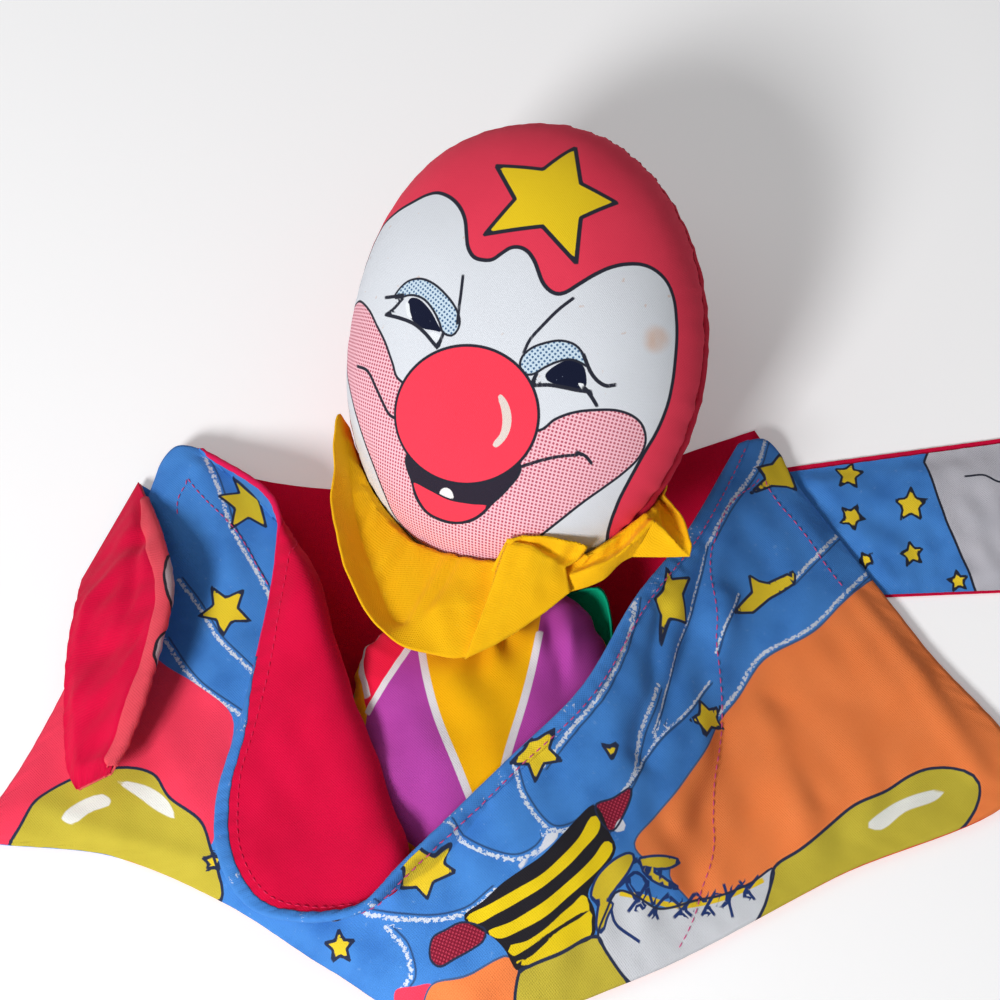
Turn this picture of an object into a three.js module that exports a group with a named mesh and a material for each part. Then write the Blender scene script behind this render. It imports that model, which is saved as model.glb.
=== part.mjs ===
// Clown doll lying on its back: stuffed head, ruff and torso in a lined, bag-shaped costume
// with two flat arms. Millimetres. +X is the picture's right, +Y runs towards the crown and +Z up.
// The origin is on the underside of the costume's back panel, which lies on the table.
import * as THREE from 'three';
import { mergeVertices } from 'three/addons/utils/BufferGeometryUtils.js';

// Driving dimensions
const CLOTH = 0.7;                     // thickness of one layer of printed cotton
const GAP = 0.3;                       // clearance between layers that lie on each other
const COSTUME_WIDTH = 391;             // left hem corner to right hem corner
const POCKET_HEIGHT = 50;              // height of the front panel where it passes over the torso
const FOLD_RADIUS = 5;                 // roll of the turned-out left front
const HEAD_HALF_WIDTH = 70;
const HEAD_HALF_LENGTH = 86;
const HEAD_FRONT_DEPTH = 42;           // seam plane to the tip of the face
const HEAD_BACK_DEPTH = 38;
const HEAD_RAISE = 22;                 // degrees the crown is raised off the table
const HEAD_LEAN = 10;                  // degrees the crown leans to the right
const HEAD_TURN = 16;                  // degrees the face is turned to the left
const TORSO_HALF_WIDTH = 47;
const TORSO_HALF_LENGTH = 50;
const TORSO_FRONT_DEPTH = 20;
const TORSO_BACK_DEPTH = 15.5;
const NECK_RADIUS = 13;
const RUFF_PLEATS = 13;
const RUFF_CROWN = 8;                  // how far the frill arches between the neck and its edge
const ARM_LENGTH = 128;                // side seam to the tip of the hand

// Heights of the layers that lie on the table, from the bottom up
const BACK_OUTER_Z = 0;
const BACK_LINING_Z = BACK_OUTER_Z + CLOTH + GAP;
const INSIDE_Z = BACK_LINING_Z + CLOTH + GAP;
const FRONT_HEM_Z = INSIDE_Z + CLOTH + GAP / 2;

const radians = THREE.MathUtils.degToRad;
const v3 = (x, y, z) => new THREE.Vector3(x, y, z);
const group = new THREE.Group();

function addPiece(name, geometry, color, roughness = 0.95) {
  const material = new THREE.MeshStandardMaterial({ color, roughness, metalness: 0 });
  const mesh = new THREE.Mesh(geometry, material);
  mesh.name = name;
  group.add(mesh);
}

// A closed solid from two grids of points that share their layout: an upper and a lower skin,
// joined by walls round the border. Rows run along i and columns along j. A ring's last row
// joins its first.
function solidBetween(lower, upper, ring = false) {
  const rows = lower.length;
  const columns = lower[0].length;
  const positions = [];
  const index = [];
  for (const skin of [lower, upper]) {
    for (const row of skin) {
      for (const p of row) positions.push(p.x, p.y, p.z);
    }
  }
  const at = (skin, i, j) => skin * rows * columns + (i % rows) * columns + j;
  const quad = (a, b, c, d) => index.push(a, b, c, a, c, d);
  const last = columns - 1;
  for (let i = 0; i < (ring ? rows : rows - 1); i++) {
    for (let j = 0; j < last; j++) {
      quad(at(1, i, j), at(1, i + 1, j), at(1, i + 1, j + 1), at(1, i, j + 1));
      quad(at(0, i, j), at(0, i, j + 1), at(0, i + 1, j + 1), at(0, i + 1, j));
    }
    quad(at(0, i, 0), at(0, i + 1, 0), at(1, i + 1, 0), at(1, i, 0));
    quad(at(1, i, last), at(1, i + 1, last), at(0, i + 1, last), at(0, i, last));
  }
  for (let j = 0; j < last && !ring; j++) {
    quad(at(1, 0, j), at(1, 0, j + 1), at(0, 0, j + 1), at(0, 0, j));
    quad(at(0, rows - 1, j), at(0, rows - 1, j + 1), at(1, rows - 1, j + 1), at(1, rows - 1, j));
  }
  const geometry = new THREE.BufferGeometry();
  geometry.setAttribute('position', new THREE.Float32BufferAttribute(positions, 3));
  geometry.setIndex(index);
  return mergeVertices(geometry, 1e-3);
}

// Unit normals of a grid of points, as the cross product of the two directions along it.
function gridNormals(grid, ring) {
  const rows = grid.length;
  const columns = grid[0].length;
  const row = (i) => (ring ? grid[(i + rows) % rows] : grid[Math.min(Math.max(i, 0), rows - 1)]);
  return grid.map((points, i) => points.map((p, j) => {
    const along = row(i + 1)[j].clone().sub(row(i - 1)[j]);
    const across = points[Math.min(j + 1, columns - 1)].clone().sub(points[Math.max(j - 1, 0)]);
    return along.cross(across).normalize();
  }));
}

// One layer of cloth: the surface's points moved along its normals from one offset to another.
function clothLayer(grid, from, to, ring = false) {
  const normals = gridNormals(grid, ring);
  const moved = (offset) => grid.map((row, i) => row.map((p, j) => (
    p.clone().addScaledVector(normals[i][j], offset))));
  return solidBetween(moved(from), moved(to), ring);
}

// A smooth line through points, sampled with a set number of steps between each pair.
function sampleThrough(points, stepsBetween) {
  const curve = new THREE.CatmullRomCurve3(points, false, 'centripetal');
  const samples = [];
  stepsBetween.forEach((steps, k) => {
    for (let s = 0; s < steps; s++) samples.push(curve.getPoint((k + s / steps) / stepsBetween.length));
  });
  samples.push(points[points.length - 1].clone());
  return samples;
}

// Costume outline
// Stations round the hem, from the left shoulder seam round the bottom to the right one. Each has
// its place on the hem, the middle of the side wing, the pocket's stitching or lower belly, and
// the rim of the mouth. Where the left front is turned out, fold is the line it rolls over. At
// either end of the turned-out stretch the rim only stands up, from the foot given as stand.
const half = COSTUME_WIDTH / 2;
const stations = [
  { hem: [-124, 94], wing: [-120, 97, 6], belly: [-115, 100, 9], rim: [-104, 106, 12] },
  {
    hem: [-138, 52], wing: [-124, 60, 9], belly: [-104, 68, 14],
    stand: [-74, 77, 17], rim: [-72, 75, 30],
  },
  {
    hem: [-151, 9], wing: [-132, 18, 10], belly: [-108, 30, 15],
    fold: [-51, 47, 31], rim: [-68, 53, 29],
  },
  {
    hem: [-171, -34], wing: [-147, -20, 9], belly: [-116, -5, 13],
    fold: [-41, 8, 33], rim: [-79, -4, 24],
  },
  {
    hem: [13 - half, -46], wing: [-153, -41, 8], belly: [-118, -32, 12],
    fold: [-31, -26, 33], rim: [-87, -40, 23],
  },
  {
    hem: [-128, -54], wing: [-115, -52, 7], belly: [-98, -49, 11],
    fold: [-23, -48, 34], rim: [-84, -62, 25],
  },
  {
    hem: [-84, -72], wing: [-77, -67, 9], belly: [-68, -62, 13],
    fold: [-18, -61, 37], rim: [-70, -80, 29],
  },
  {
    hem: [-46, -95], wing: [-42, -90, 12], belly: [-37, -84, 17],
    stand: [-18, -71, 36], rim: [-36, -84, 44],
  },
  {
    hem: [-4, -116], wing: [-4, -109, 13], belly: [-5, -98, 24],
    stand: [-11, -68, 36], rim: [-17, -67, 49],
  },
  { hem: [60, -99], wing: [54, -90, 15], belly: [44, -76, 32], rim: [16, -34, POCKET_HEIGHT] },
  { hem: [136, -62], wing: [114, -54, 8], belly: [92, -44, 16], rim: [43, -7, POCKET_HEIGHT + 1] },
  { hem: [13 + half, -26], wing: [166, -12, 8], belly: [106, 6, 14], rim: [66, 29, 45] },
  { hem: [176, 27], wing: [148, 36, 9], belly: [116, 46, 15], rim: [86, 62, 31] },
  { hem: [128, 101], wing: [124, 104, 7], belly: [119, 108, 10], rim: [108, 114, 13] },
];
const topEdge = [[90, 107], [56, 98], [20, 95], [-20, 94], [-54, 94], [-86, 99]];

function costumeBack() {
  const hem = sampleThrough(stations.map((s) => v3(...s.hem, 0)), stations.slice(1).map(() => 4));
  const top = [v3(108, 114, 0), ...topEdge.map((p) => v3(...p, 0)), v3(-104, 106, 0)];
  const neckline = sampleThrough(top, top.slice(1).map(() => 2));
  const outline = [...hem, ...neckline].map((p) => new THREE.Vector2(p.x, p.y));
  for (const [name, z, color] of [
    ['back_outer', BACK_OUTER_Z, 0x2f6fb4],
    ['back_lining', BACK_LINING_Z, 0xd1083e],
  ]) {
    const geometry = new THREE.ExtrudeGeometry(new THREE.Shape(outline), {
      depth: CLOTH, bevelEnabled: false, curveSegments: 1,
    });
    geometry.translate(0, 0, z);
    addPiece(name, geometry, color);
  }
}

// The front panel's middle surface, one line of points from the hem to the rim per station.
const PANEL_STEPS = [2, 2, 4, 2, 2, 3, 2];
const STATION_STEPS = 2;

function frontLine(station) {
  const hem = v3(...station.hem, FRONT_HEM_Z);
  const wing = v3(...station.wing);
  const belly = v3(...station.belly);
  const rim = v3(...station.rim);
  if (!station.fold && !station.stand) {
    const towards = (part) => belly.clone().lerp(rim, part);
    return [hem, wing, belly, towards(0.86), towards(0.9), towards(0.94), towards(0.97), rim];
  }
  if (station.stand) {
    const foot = v3(...station.stand);
    const up = (part) => foot.clone().lerp(rim, part);
    return [hem, wing, belly, foot.clone().lerp(belly, 0.12), foot, up(0.3), up(0.65), rim];
  }
  const fold = v3(...station.fold);
  const outward = v3(rim.x - fold.x, rim.y - fold.y, 0).normalize();
  const under = fold.clone().addScaledVector(outward, FOLD_RADIUS);
  const over = under.clone();
  under.z -= FOLD_RADIUS;
  over.z += FOLD_RADIUS;
  const flap = over.clone().lerp(rim, 0.5);
  flap.z += 1.5;
  return [hem, wing, belly, under, fold, over, flap, rim];
}

function costumeFront() {
  const lines = stations.map((station) => sampleThrough(frontLine(station), PANEL_STEPS));
  const columns = lines[0].map((_, j) => (
    sampleThrough(lines.map((line) => line[j]), stations.slice(1).map(() => STATION_STEPS))));
  const grid = columns[0].map((_, i) => columns.map((column) => column[i]));
  addPiece('front_lining', clothLayer(grid, -GAP / 2 - CLOTH, -GAP / 2), 0xd1083e);
  addPiece('front_outer', clothLayer(grid, GAP / 2, GAP / 2 + CLOTH), 0x2f6fb4);
}

// Stuffed pillows
// A pillow is two panels sewn round their edge, with its own axes: x across, y along and z out of
// its front. Its skins are one family of shapes, each smaller than the last by the layer between.
// Its outline is an ellipse where squareness is 2, and has fuller corners above that.
const SEAM_GAP = GAP / 2;
const PILLOW_POWER = 2.4;

function pillowPoint(size, inset, angle, climb, side) {
  const { squareness } = size;
  const corner = Math.pow(
    Math.abs(Math.cos(angle)) ** squareness + Math.abs(Math.sin(angle)) ** squareness, -1 / squareness);
  const reach = corner * Math.pow(Math.sin(climb), 2 / PILLOW_POWER);
  const depth = (side > 0 ? size.front : size.back) - inset;
  const along = reach * Math.sin(angle);
  const across = reach * Math.cos(angle) * (1 - size.taper * along);
  return v3(across * (size.halfWidth - inset), along * (size.halfLength - inset),
    side * (SEAM_GAP + depth * Math.cos(climb)));
}

function pillowSkin(size, inset, side, around, rings) {
  const skin = [];
  for (let k = 1; k <= rings; k++) {
    const ring = [];
    for (let i = 0; i < around; i++) {
      ring.push(pillowPoint(size, inset, (2 * Math.PI * i) / around, (Math.PI / 2) * (k / rings), side));
    }
    skin.push(ring);
  }
  return { pole: pillowPoint(size, inset, 0, 0, side), rings: skin };
}

// A closed solid from skins that each start at a pole and run out to a last ring of equal count.
function solidFromSkins(first, second) {
  const positions = [];
  const index = [];
  const around = first.rings[0].length;
  const addSkin = (skin, flip) => {
    const start = positions.length / 3;
    positions.push(...skin.pole.toArray());
    skin.rings.forEach((ring) => ring.forEach((p) => positions.push(...p.toArray())));
    const at = (k, i) => start + 1 + k * around + (i % around);
    const triangle = (a, b, c) => index.push(...(flip ? [a, c, b] : [a, b, c]));
    for (let i = 0; i < around; i++) {
      triangle(start, at(0, i), at(0, i + 1));
      for (let k = 0; k < skin.rings.length - 1; k++) {
        triangle(at(k, i), at(k + 1, i), at(k + 1, i + 1));
        triangle(at(k, i), at(k + 1, i + 1), at(k, i + 1));
      }
    }
    return (i) => at(skin.rings.length - 1, i);
  };
  const edgeA = addSkin(first, false);
  const edgeB = addSkin(second, true);
  for (let i = 0; i < around; i++) {
    index.push(edgeA(i), edgeB(i), edgeB(i + 1), edgeA(i), edgeB(i + 1), edgeA(i + 1));
  }
  const geometry = new THREE.BufferGeometry();
  geometry.setAttribute('position', new THREE.Float32BufferAttribute(positions, 3));
  geometry.setIndex(index);
  return mergeVertices(geometry, 1e-3);
}

function pillow(prefix, size, place, colors, around, rings) {
  const panel = (side) => {
    const outer = pillowSkin(size, 0, side, around, rings);
    const inner = pillowSkin(size, CLOTH, side, around, rings);
    return side > 0 ? solidFromSkins(outer, inner) : solidFromSkins(inner, outer);
  };
  const inset = CLOTH + GAP;
  const stuffing = solidFromSkins(
    pillowSkin(size, inset, 1, around, rings), pillowSkin(size, inset, -1, around, rings));
  const pieces = [
    [`${prefix}_front`, panel(1), colors[0]],
    [`${prefix}_back`, panel(-1), colors[1]],
    [`${prefix}_stuffing`, stuffing, 0xf2efe6],
  ];
  for (const [name, geometry, color] of pieces) {
    geometry.applyMatrix4(place);
    addPiece(name, geometry, color);
  }
}

// Axes of the head: leaned to the right in the table's plane, crown raised, then turned about
// its own long axis.
function headAxes() {
  const lean = radians(HEAD_LEAN);
  const raise = radians(HEAD_RAISE);
  const turn = radians(HEAD_TURN);
  const level = v3(Math.cos(lean), -Math.sin(lean), 0);
  const along = v3(Math.sin(lean) * Math.cos(raise), Math.cos(lean) * Math.cos(raise), Math.sin(raise));
  const out = level.clone().cross(along);
  const front = out.clone().multiplyScalar(Math.cos(turn)).addScaledVector(level, -Math.sin(turn));
  const across = along.clone().cross(front);
  return { across, along, front };
}

const neckPivot = v3(9, 41, 24);
const headSize = {
  halfWidth: HEAD_HALF_WIDTH, halfLength: HEAD_HALF_LENGTH,
  front: HEAD_FRONT_DEPTH, back: HEAD_BACK_DEPTH, taper: 0.04, squareness: 2,
};
const torsoSize = {
  halfWidth: TORSO_HALF_WIDTH, halfLength: TORSO_HALF_LENGTH,
  front: TORSO_FRONT_DEPTH, back: TORSO_BACK_DEPTH, taper: -0.13, squareness: 3,
};
const NECK_LENGTH = 12;
const TORSO_CLEARANCE = 1.5;           // top of the torso to the neck, which leans over it

function headPlace() {
  const { across, along, front } = headAxes();
  const centre = neckPivot.clone().addScaledVector(along, HEAD_HALF_LENGTH + NECK_LENGTH / 2 + GAP);
  return new THREE.Matrix4().makeBasis(across, along, front).setPosition(centre);
}

function head() {
  pillow('head', headSize, headPlace(), [0xdedfe3, 0xc81e38], 32, 8);
}

// Moves a point that is inside the head, or closer than the margin, straight out from its centre.
function clearOfHead(point, margin) {
  const place = headPlace();
  const local = point.clone().applyMatrix4(place.clone().invert());
  const inside = (p) => {
    const width = headSize.halfWidth * (1 - (headSize.taper * p.y) / headSize.halfLength) + margin;
    const depth = (p.z > 0 ? headSize.front : headSize.back) + margin;
    const reach = Math.hypot(p.x / width, p.y / (headSize.halfLength + margin));
    return Math.pow(reach, PILLOW_POWER) + (p.z / depth) ** 2 < 1;
  };
  const outward = local.clone().normalize();
  while (inside(local)) local.addScaledVector(outward, 0.2);
  return local.applyMatrix4(place);
}

function torso() {
  const centre = v3(neckPivot.x - 1, 0, INSIDE_Z + SEAM_GAP + TORSO_BACK_DEPTH);
  centre.y = neckPivot.y - NECK_LENGTH / 2 - TORSO_CLEARANCE - TORSO_HALF_LENGTH;
  const place = new THREE.Matrix4().makeTranslation(centre);
  pillow('torso', torsoSize, place, [0xe8a316, 0x009c7a], 28, 6);
}

// Gathered cloth between the torso and the head: a short tube with a waist, bunched shut.
function neck() {
  const { along } = headAxes();
  const profile = [[0, -0.5], [1, -0.5], [0.86, 0], [1, 0.5], [0, 0.5]].map(
    ([r, h]) => new THREE.Vector2(r * NECK_RADIUS, h * NECK_LENGTH));
  const geometry = mergeVertices(deleteExtras(new THREE.LatheGeometry(profile, 24)), 1e-3);
  geometry.applyQuaternion(new THREE.Quaternion().setFromUnitVectors(
    v3(0, 1, 0), v3(along.x, along.y, along.z / 2).normalize()));
  geometry.translate(neckPivot.x, neckPivot.y, neckPivot.z);
  addPiece('neck_gather', geometry, 0xd9a21a);
}

function deleteExtras(geometry) {
  geometry.deleteAttribute('normal');
  geometry.deleteAttribute('uv');
  return geometry;
}

// Pleated frill: a ring of cloth gathered round the neck. In front it lies on the torso, at the
// sides it stands out past the head, and behind it is flat between the head and the costume.
const ruffEdge = [
  [2, 7, 42], [25, 20, 45], [48, 34, 48], [82, 45, 50], [80, 64, 48], [60, 84, 20], [20, 86, 6],
  [-22, 84, 8], [-46, 96, 28], [-49, 105, 40], [-49, 78, 44], [-44, 45, 44.5], [-24, 14, 41],
].map((p) => v3(...p));
const PLEAT_HEIGHT = 3.5;
const RUFF_CLEARANCE = 1.6;            // frill's middle to the head's panels
const PLEAT_STEPS = 5;                 // points round the ring for each pleat

function ruff() {
  const { along } = headAxes();
  const edge = new THREE.CatmullRomCurve3(ruffEdge, true, 'centripetal');
  const steps = RUFF_PLEATS * PLEAT_STEPS;
  const rings = [0, 0.15, 0.35, 0.55, 0.78, 1];
  const lowest = INSIDE_Z + CLOTH / 2;
  const grid = [];
  for (let i = 0; i < steps; i++) {
    const rim = edge.getPointAt(i / steps);
    const outward = rim.clone().sub(neckPivot);
    outward.addScaledVector(along, -outward.dot(along)).normalize();
    const root = neckPivot.clone().addScaledVector(outward, NECK_RADIUS + 2.5);
    root.addScaledVector(along, 2);
    const wave = PLEAT_HEIGHT * Math.sin((2 * Math.PI * i) / PLEAT_STEPS);
    grid.push(rings.map((part) => {
      const point = root.clone().lerp(rim, part);
      point.addScaledVector(along, wave * part * (1 - 0.4 * part));
      point.z += RUFF_CROWN * Math.sin(Math.PI * part);
      const seated = clearOfHead(point, RUFF_CLEARANCE);
      seated.z = Math.max(seated.z, lowest);
      return seated;
    }));
  }
  addPiece('ruff', clothLayer(grid, -CLOTH / 2, CLOTH / 2, true), 0xf5b50c);
}

// Arms
// Each arm is two layers sewn edge to edge, with no filling, and its root is sewn into the
// costume's side seam between two of the hem's stations.
const RIGHT_SEAM = { from: 12.3, to: 13 };
const LEFT_SEAM = { from: 0.03, to: 0.95 };
const SEAM_CLEARANCE = 0.6;            // hem to the root of an arm
const WRIST_WIDTH = 66;
const HAND_TOP_Y = 118;

// Points along the hem between two stations, moved outward to where an arm starts.
function seamLine({ from, to }, steps) {
  const curve = new THREE.CatmullRomCurve3(stations.map((s) => v3(...s.hem, 0)), false, 'centripetal');
  const points = [];
  for (let k = 0; k <= steps; k++) {
    points.push(curve.getPoint(THREE.MathUtils.lerp(from, to, k / steps) / (stations.length - 1)));
  }
  const seam = points[steps].clone().sub(points[0]).normalize();
  const outward = v3(seam.y, -seam.x, 0).multiplyScalar(SEAM_CLEARANCE);
  return points.map((p) => p.add(outward));
}

// Two flat layers of one outline that lie on the table, the lower named first.
function flatLayers(shape, lower, upper) {
  for (const [[name, color], z] of [[lower, BACK_OUTER_Z], [upper, BACK_LINING_Z]]) {
    const geometry = new THREE.ExtrudeGeometry(shape, {
      depth: CLOTH, bevelEnabled: false, curveSegments: 12,
    });
    geometry.translate(0, 0, z);
    addPiece(name, geometry, color);
  }
}

// The right arm lies flat and widens to its rounded hand.
function rightArm() {
  const root = seamLine(RIGHT_SEAM, 4);
  const palm = WRIST_WIDTH / 2;
  const handX = (root[0].x + root[4].x) / 2 + ARM_LENGTH - palm;
  const handY = HAND_TOP_Y - palm;
  const shape = new THREE.Shape();
  shape.moveTo(root[4].x, root[4].y);
  for (let k = 3; k >= 0; k--) shape.lineTo(root[k].x, root[k].y);
  shape.lineTo(handX, handY - palm);
  shape.absarc(handX, handY, palm, -Math.PI / 2, Math.PI / 2, false);
  shape.closePath();
  flatLayers(shape, ['right_arm_back', 0xd1083e], ['right_arm_front', 0x2f6fb4]);
}

// The left arm is creased over at its root along a slanted line. The root stays flat beside the
// costume, and the rest comes back over it and hangs down the side wing with its back side up.
const CREASE_START = v3(-130, 96, 0);
const CREASE_DIRECTION = v3(-0.4, -0.9165, 0);
const CREASE_LENGTH = 46;

function leftArmRoot() {
  const seam = seamLine(LEFT_SEAM, 4);
  const end = CREASE_START.clone().addScaledVector(CREASE_DIRECTION, CREASE_LENGTH);
  const shape = new THREE.Shape([...seam, end, CREASE_START].map((p) => new THREE.Vector2(p.x, p.y)));
  flatLayers(shape, ['left_arm_root_back', 0xd1083e], ['left_arm_root_front', 0x2f6fb4]);
}

// Stations along the folded part, after the crease: its middle, half width, how much higher its
// inner edge is than its middle, and the slope of its cross lines in the table's plane.
const leftArmStations = [
  { middle: [-131.5, 51, 17.5], halfWidth: 19.8, rise: 6.5, slope: 0.67 },
  { middle: [-128, 29, 24.7], halfWidth: 21.8, rise: 9.7, slope: 0.4 },
  { middle: [-128.5, 9, 26], halfWidth: 20.4, rise: 10, slope: 0.43 },
  { middle: [-130, -9.6, 25], halfWidth: 16.3, rise: 9, slope: 0.32 },
  { middle: [-131, -22.6, 23.5], halfWidth: 12.6, rise: 6.5, slope: 0.39 },
  { middle: [-132, -32.6, 23], halfWidth: 6.7, rise: 3, slope: 0.33 },
];

function leftArm() {
  const acrossSteps = [-1, -0.75, -0.4, 0, 0.4, 0.75, 1];
  const creaseZ = INSIDE_Z + CLOTH + GAP / 2;
  const creaseMiddle = CREASE_START.clone().addScaledVector(CREASE_DIRECTION, CREASE_LENGTH / 2);
  const lines = [acrossSteps.map((part) => {
    const point = creaseMiddle.clone().addScaledVector(CREASE_DIRECTION, -part * CREASE_LENGTH / 2);
    point.z = creaseZ;
    return point;
  })];
  for (const { middle, halfWidth, rise, slope } of leftArmStations) {
    const cross = v3(1, slope, 0).normalize().multiplyScalar(halfWidth);
    cross.z = rise;
    lines.push(acrossSteps.map((part) => v3(...middle).addScaledVector(cross, part)));
  }
  const along = acrossSteps.map((_, j) => (
    sampleThrough(lines.map((line) => line[j]), [3, 3, 3, 3, 3, 2])));
  const grid = along[0].map((_, i) => along.map((line) => line[i]));
  addPiece('left_arm_front', clothLayer(grid, -GAP / 2 - CLOTH, -GAP / 2), 0x2f6fb4);
  addPiece('left_arm_back', clothLayer(grid, GAP / 2, GAP / 2 + CLOTH), 0xd1083e);
}

costumeBack();
costumeFront();
torso();
neck();
ruff();
head();
leftArmRoot();
leftArm();
rightArm();

export default group;
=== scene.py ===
"""Looks of the clown doll: printed cotton, stuffed head and torso, pleated ruff, lined costume.

Metres in Blender. Sizes below are in millimetres and are scaled once, when a mesh is made.
"""
import math

import bmesh
import bpy
import numpy as np
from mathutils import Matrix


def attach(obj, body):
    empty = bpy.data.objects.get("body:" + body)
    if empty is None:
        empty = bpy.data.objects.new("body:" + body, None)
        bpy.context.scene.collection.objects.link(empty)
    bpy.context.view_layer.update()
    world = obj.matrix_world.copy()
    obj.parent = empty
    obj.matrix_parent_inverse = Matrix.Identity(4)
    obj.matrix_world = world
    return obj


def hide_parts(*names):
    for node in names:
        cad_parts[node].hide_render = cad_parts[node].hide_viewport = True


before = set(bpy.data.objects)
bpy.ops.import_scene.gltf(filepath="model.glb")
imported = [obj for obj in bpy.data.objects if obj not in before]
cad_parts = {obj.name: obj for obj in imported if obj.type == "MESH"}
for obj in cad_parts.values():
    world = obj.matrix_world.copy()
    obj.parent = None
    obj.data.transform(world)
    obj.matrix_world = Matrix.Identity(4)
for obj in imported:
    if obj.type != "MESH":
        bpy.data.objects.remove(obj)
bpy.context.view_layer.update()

MM = 0.001
CLOTH = 0.7          # one layer of cotton, as in the solids
GAP = 0.3            # between layers
INSIDE_Z = 2 * (CLOTH + GAP)
FRONT_HEM_Z = INSIDE_Z + CLOTH + GAP / 2
NECK = np.array([9.0, 41.0, 24.0])
NECK_HALF = 6        # half the length of the gathered neck

# Camera: where it looks, how steeply, from how far, its focal length in image widths, and the
# width of the photograph in pixels
LOOK_AT = np.array([14.0, 90.0, 0.0])
ELEVATION = math.radians(65)
DISTANCE = 720.0
FOCAL = 1.8
IMAGE = 1000

look = np.array([0, math.cos(ELEVATION), -math.sin(ELEVATION)])
image_up = np.array([0, math.sin(ELEVATION), math.cos(ELEVATION)])
image_right = np.array([1.0, 0, 0])
eye = LOOK_AT - DISTANCE * look


def to_image(points):
    """Where points in millimetres land in the photograph, in its pixels."""
    away = points - eye
    depth = away @ look
    x = IMAGE / 2 + IMAGE * FOCAL * (away @ image_right) / depth
    y = IMAGE / 2 - IMAGE * FOCAL * (away @ image_up) / depth
    return np.stack([x, y], -1)


def faces_camera(points, normal):
    """Whether each point's cloth turns its shown side to the camera."""
    return ((eye - points) * normal).sum(-1) > 0


def make_camera():
    data = bpy.data.cameras.new("camera")
    data.sensor_width = 36
    data.lens = 36 * FOCAL
    data.clip_end = 10
    camera = bpy.data.objects.new("camera", data)
    camera.location = eye * MM
    camera.rotation_euler = (math.pi / 2 - ELEVATION, 0, 0)
    bpy.context.scene.collection.objects.link(camera)
    bpy.context.scene.camera = camera


# Curves and grids

def through(points, places):
    """A centripetal curve through points, read at places from 0 at the first to 1 at the last."""
    points = np.asarray(points, float)
    count = len(points)
    ends = (2 * points[0] - points[1], 2 * points[-1] - points[-2])
    padded = np.vstack([ends[0], points, ends[1]])
    places = np.asarray(places, float) * (count - 1)
    segment = np.minimum(places.astype(int), count - 2)
    t = (places - segment)[:, None]
    p = [padded[segment + k] for k in range(4)]
    steps = [np.sqrt(np.linalg.norm(p[k + 1] - p[k], axis=1))[:, None] for k in range(3)]
    middle = np.where(steps[1] < 1e-4, 1.0, steps[1])
    before = np.where(steps[0] < 1e-4, middle, steps[0])
    after = np.where(steps[2] < 1e-4, middle, steps[2])
    start = (p[1] - p[0]) / before - (p[2] - p[0]) / (before + middle) + (p[2] - p[1]) / middle
    end = (p[2] - p[1]) / middle - (p[3] - p[1]) / (middle + after) + (p[3] - p[2]) / after
    start, end = start * middle, end * middle
    cubic = 2 * p[1] - 2 * p[2] + start + end
    square = -3 * p[1] + 3 * p[2] - 2 * start - end
    return ((cubic * t + square) * t + start) * t + p[1]


def loop_through(points, places):
    """The same curve closed on itself, with places from 0 to 1 round it."""
    points = np.asarray(points, float)
    around = np.vstack([points[-2:], points, points[:3]])
    inner = 2 + np.asarray(places, float) * len(points)
    return through(around, inner / (len(around) - 1))


def spread(counts):
    """Places along a curve with a set number of steps in each of its stretches."""
    places = [k + s / steps for k, steps in enumerate(counts) for s in range(steps)]
    return np.array(places + [len(counts)]) / len(counts)


def grid_normals(grid, ring=False):
    """Unit normals of a grid of points: first direction crossed with the second."""
    if ring:
        along = np.roll(grid, -1, 0) - np.roll(grid, 1, 0)
    else:
        along = np.gradient(grid, axis=0)
    across = np.gradient(grid, axis=1)
    normal = np.cross(along, across)
    return normal / np.maximum(np.linalg.norm(normal, axis=2, keepdims=True), 1e-9)


def run_length(grid, axis):
    """Distance along the grid from its first line, in the grid's own units."""
    steps = np.linalg.norm(np.diff(grid, axis=axis), axis=2)
    shape = list(steps.shape)
    shape[axis] = 1
    return np.concatenate([np.zeros(shape), np.cumsum(steps, axis=axis)], axis=axis)


def smooth(x, low, high):
    """0 below low, 1 above high and a soft step between."""
    t = np.clip((x - low) / (high - low), 0, 1)
    return t * t * (3 - 2 * t)


def grid_faces(rows, columns, ring=False, flip=False):
    """Four-sided faces of a grid, as index rows."""
    i = np.arange(rows if ring else rows - 1)
    j = np.arange(columns - 1)
    i, j = (a.ravel() for a in np.meshgrid(i, j, indexing="ij"))
    this, after = i * columns + j, (i + 1) % rows * columns + j
    faces = np.stack([this, after, after + 1, this + 1], 1)
    return faces[:, ::-1] if flip else faces


def make_piece(name, points, faces, finish, flat=None, smooth_shade=True):
    """A mesh object from points in millimetres, with flat places in millimetres as its UV map."""
    mesh = bpy.data.meshes.new(name)
    places = (np.asarray(points).reshape(-1, 3) * MM).tolist()
    mesh.from_pydata(places, [], [list(map(int, face)) for face in faces])
    mesh.update()
    piece = bpy.data.objects.new(name, mesh)
    bpy.context.scene.collection.objects.link(piece)
    if flat is not None:
        layer = mesh.uv_layers.new(name="flat")
        corners = np.zeros(len(mesh.loops), int)
        mesh.loops.foreach_get("vertex_index", corners)
        values = np.asarray(flat).reshape(-1, 2)[corners] / 100
        layer.data.foreach_set("uv", values.astype(np.float32).ravel())
    mesh.polygons.foreach_set("use_smooth", [smooth_shade] * len(mesh.polygons))
    mesh.materials.append(finish)
    return piece


def store(piece, name, values):
    """Keeps one number per point of a piece, in millimetres, for its material to read."""
    attribute = piece.data.attributes.new(name, "FLOAT", "POINT")
    attribute.data.foreach_set("value", np.asarray(values, np.float32).ravel())


# Drawing printed shapes as signed distances: below 0 inside, above 0 outside

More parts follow.
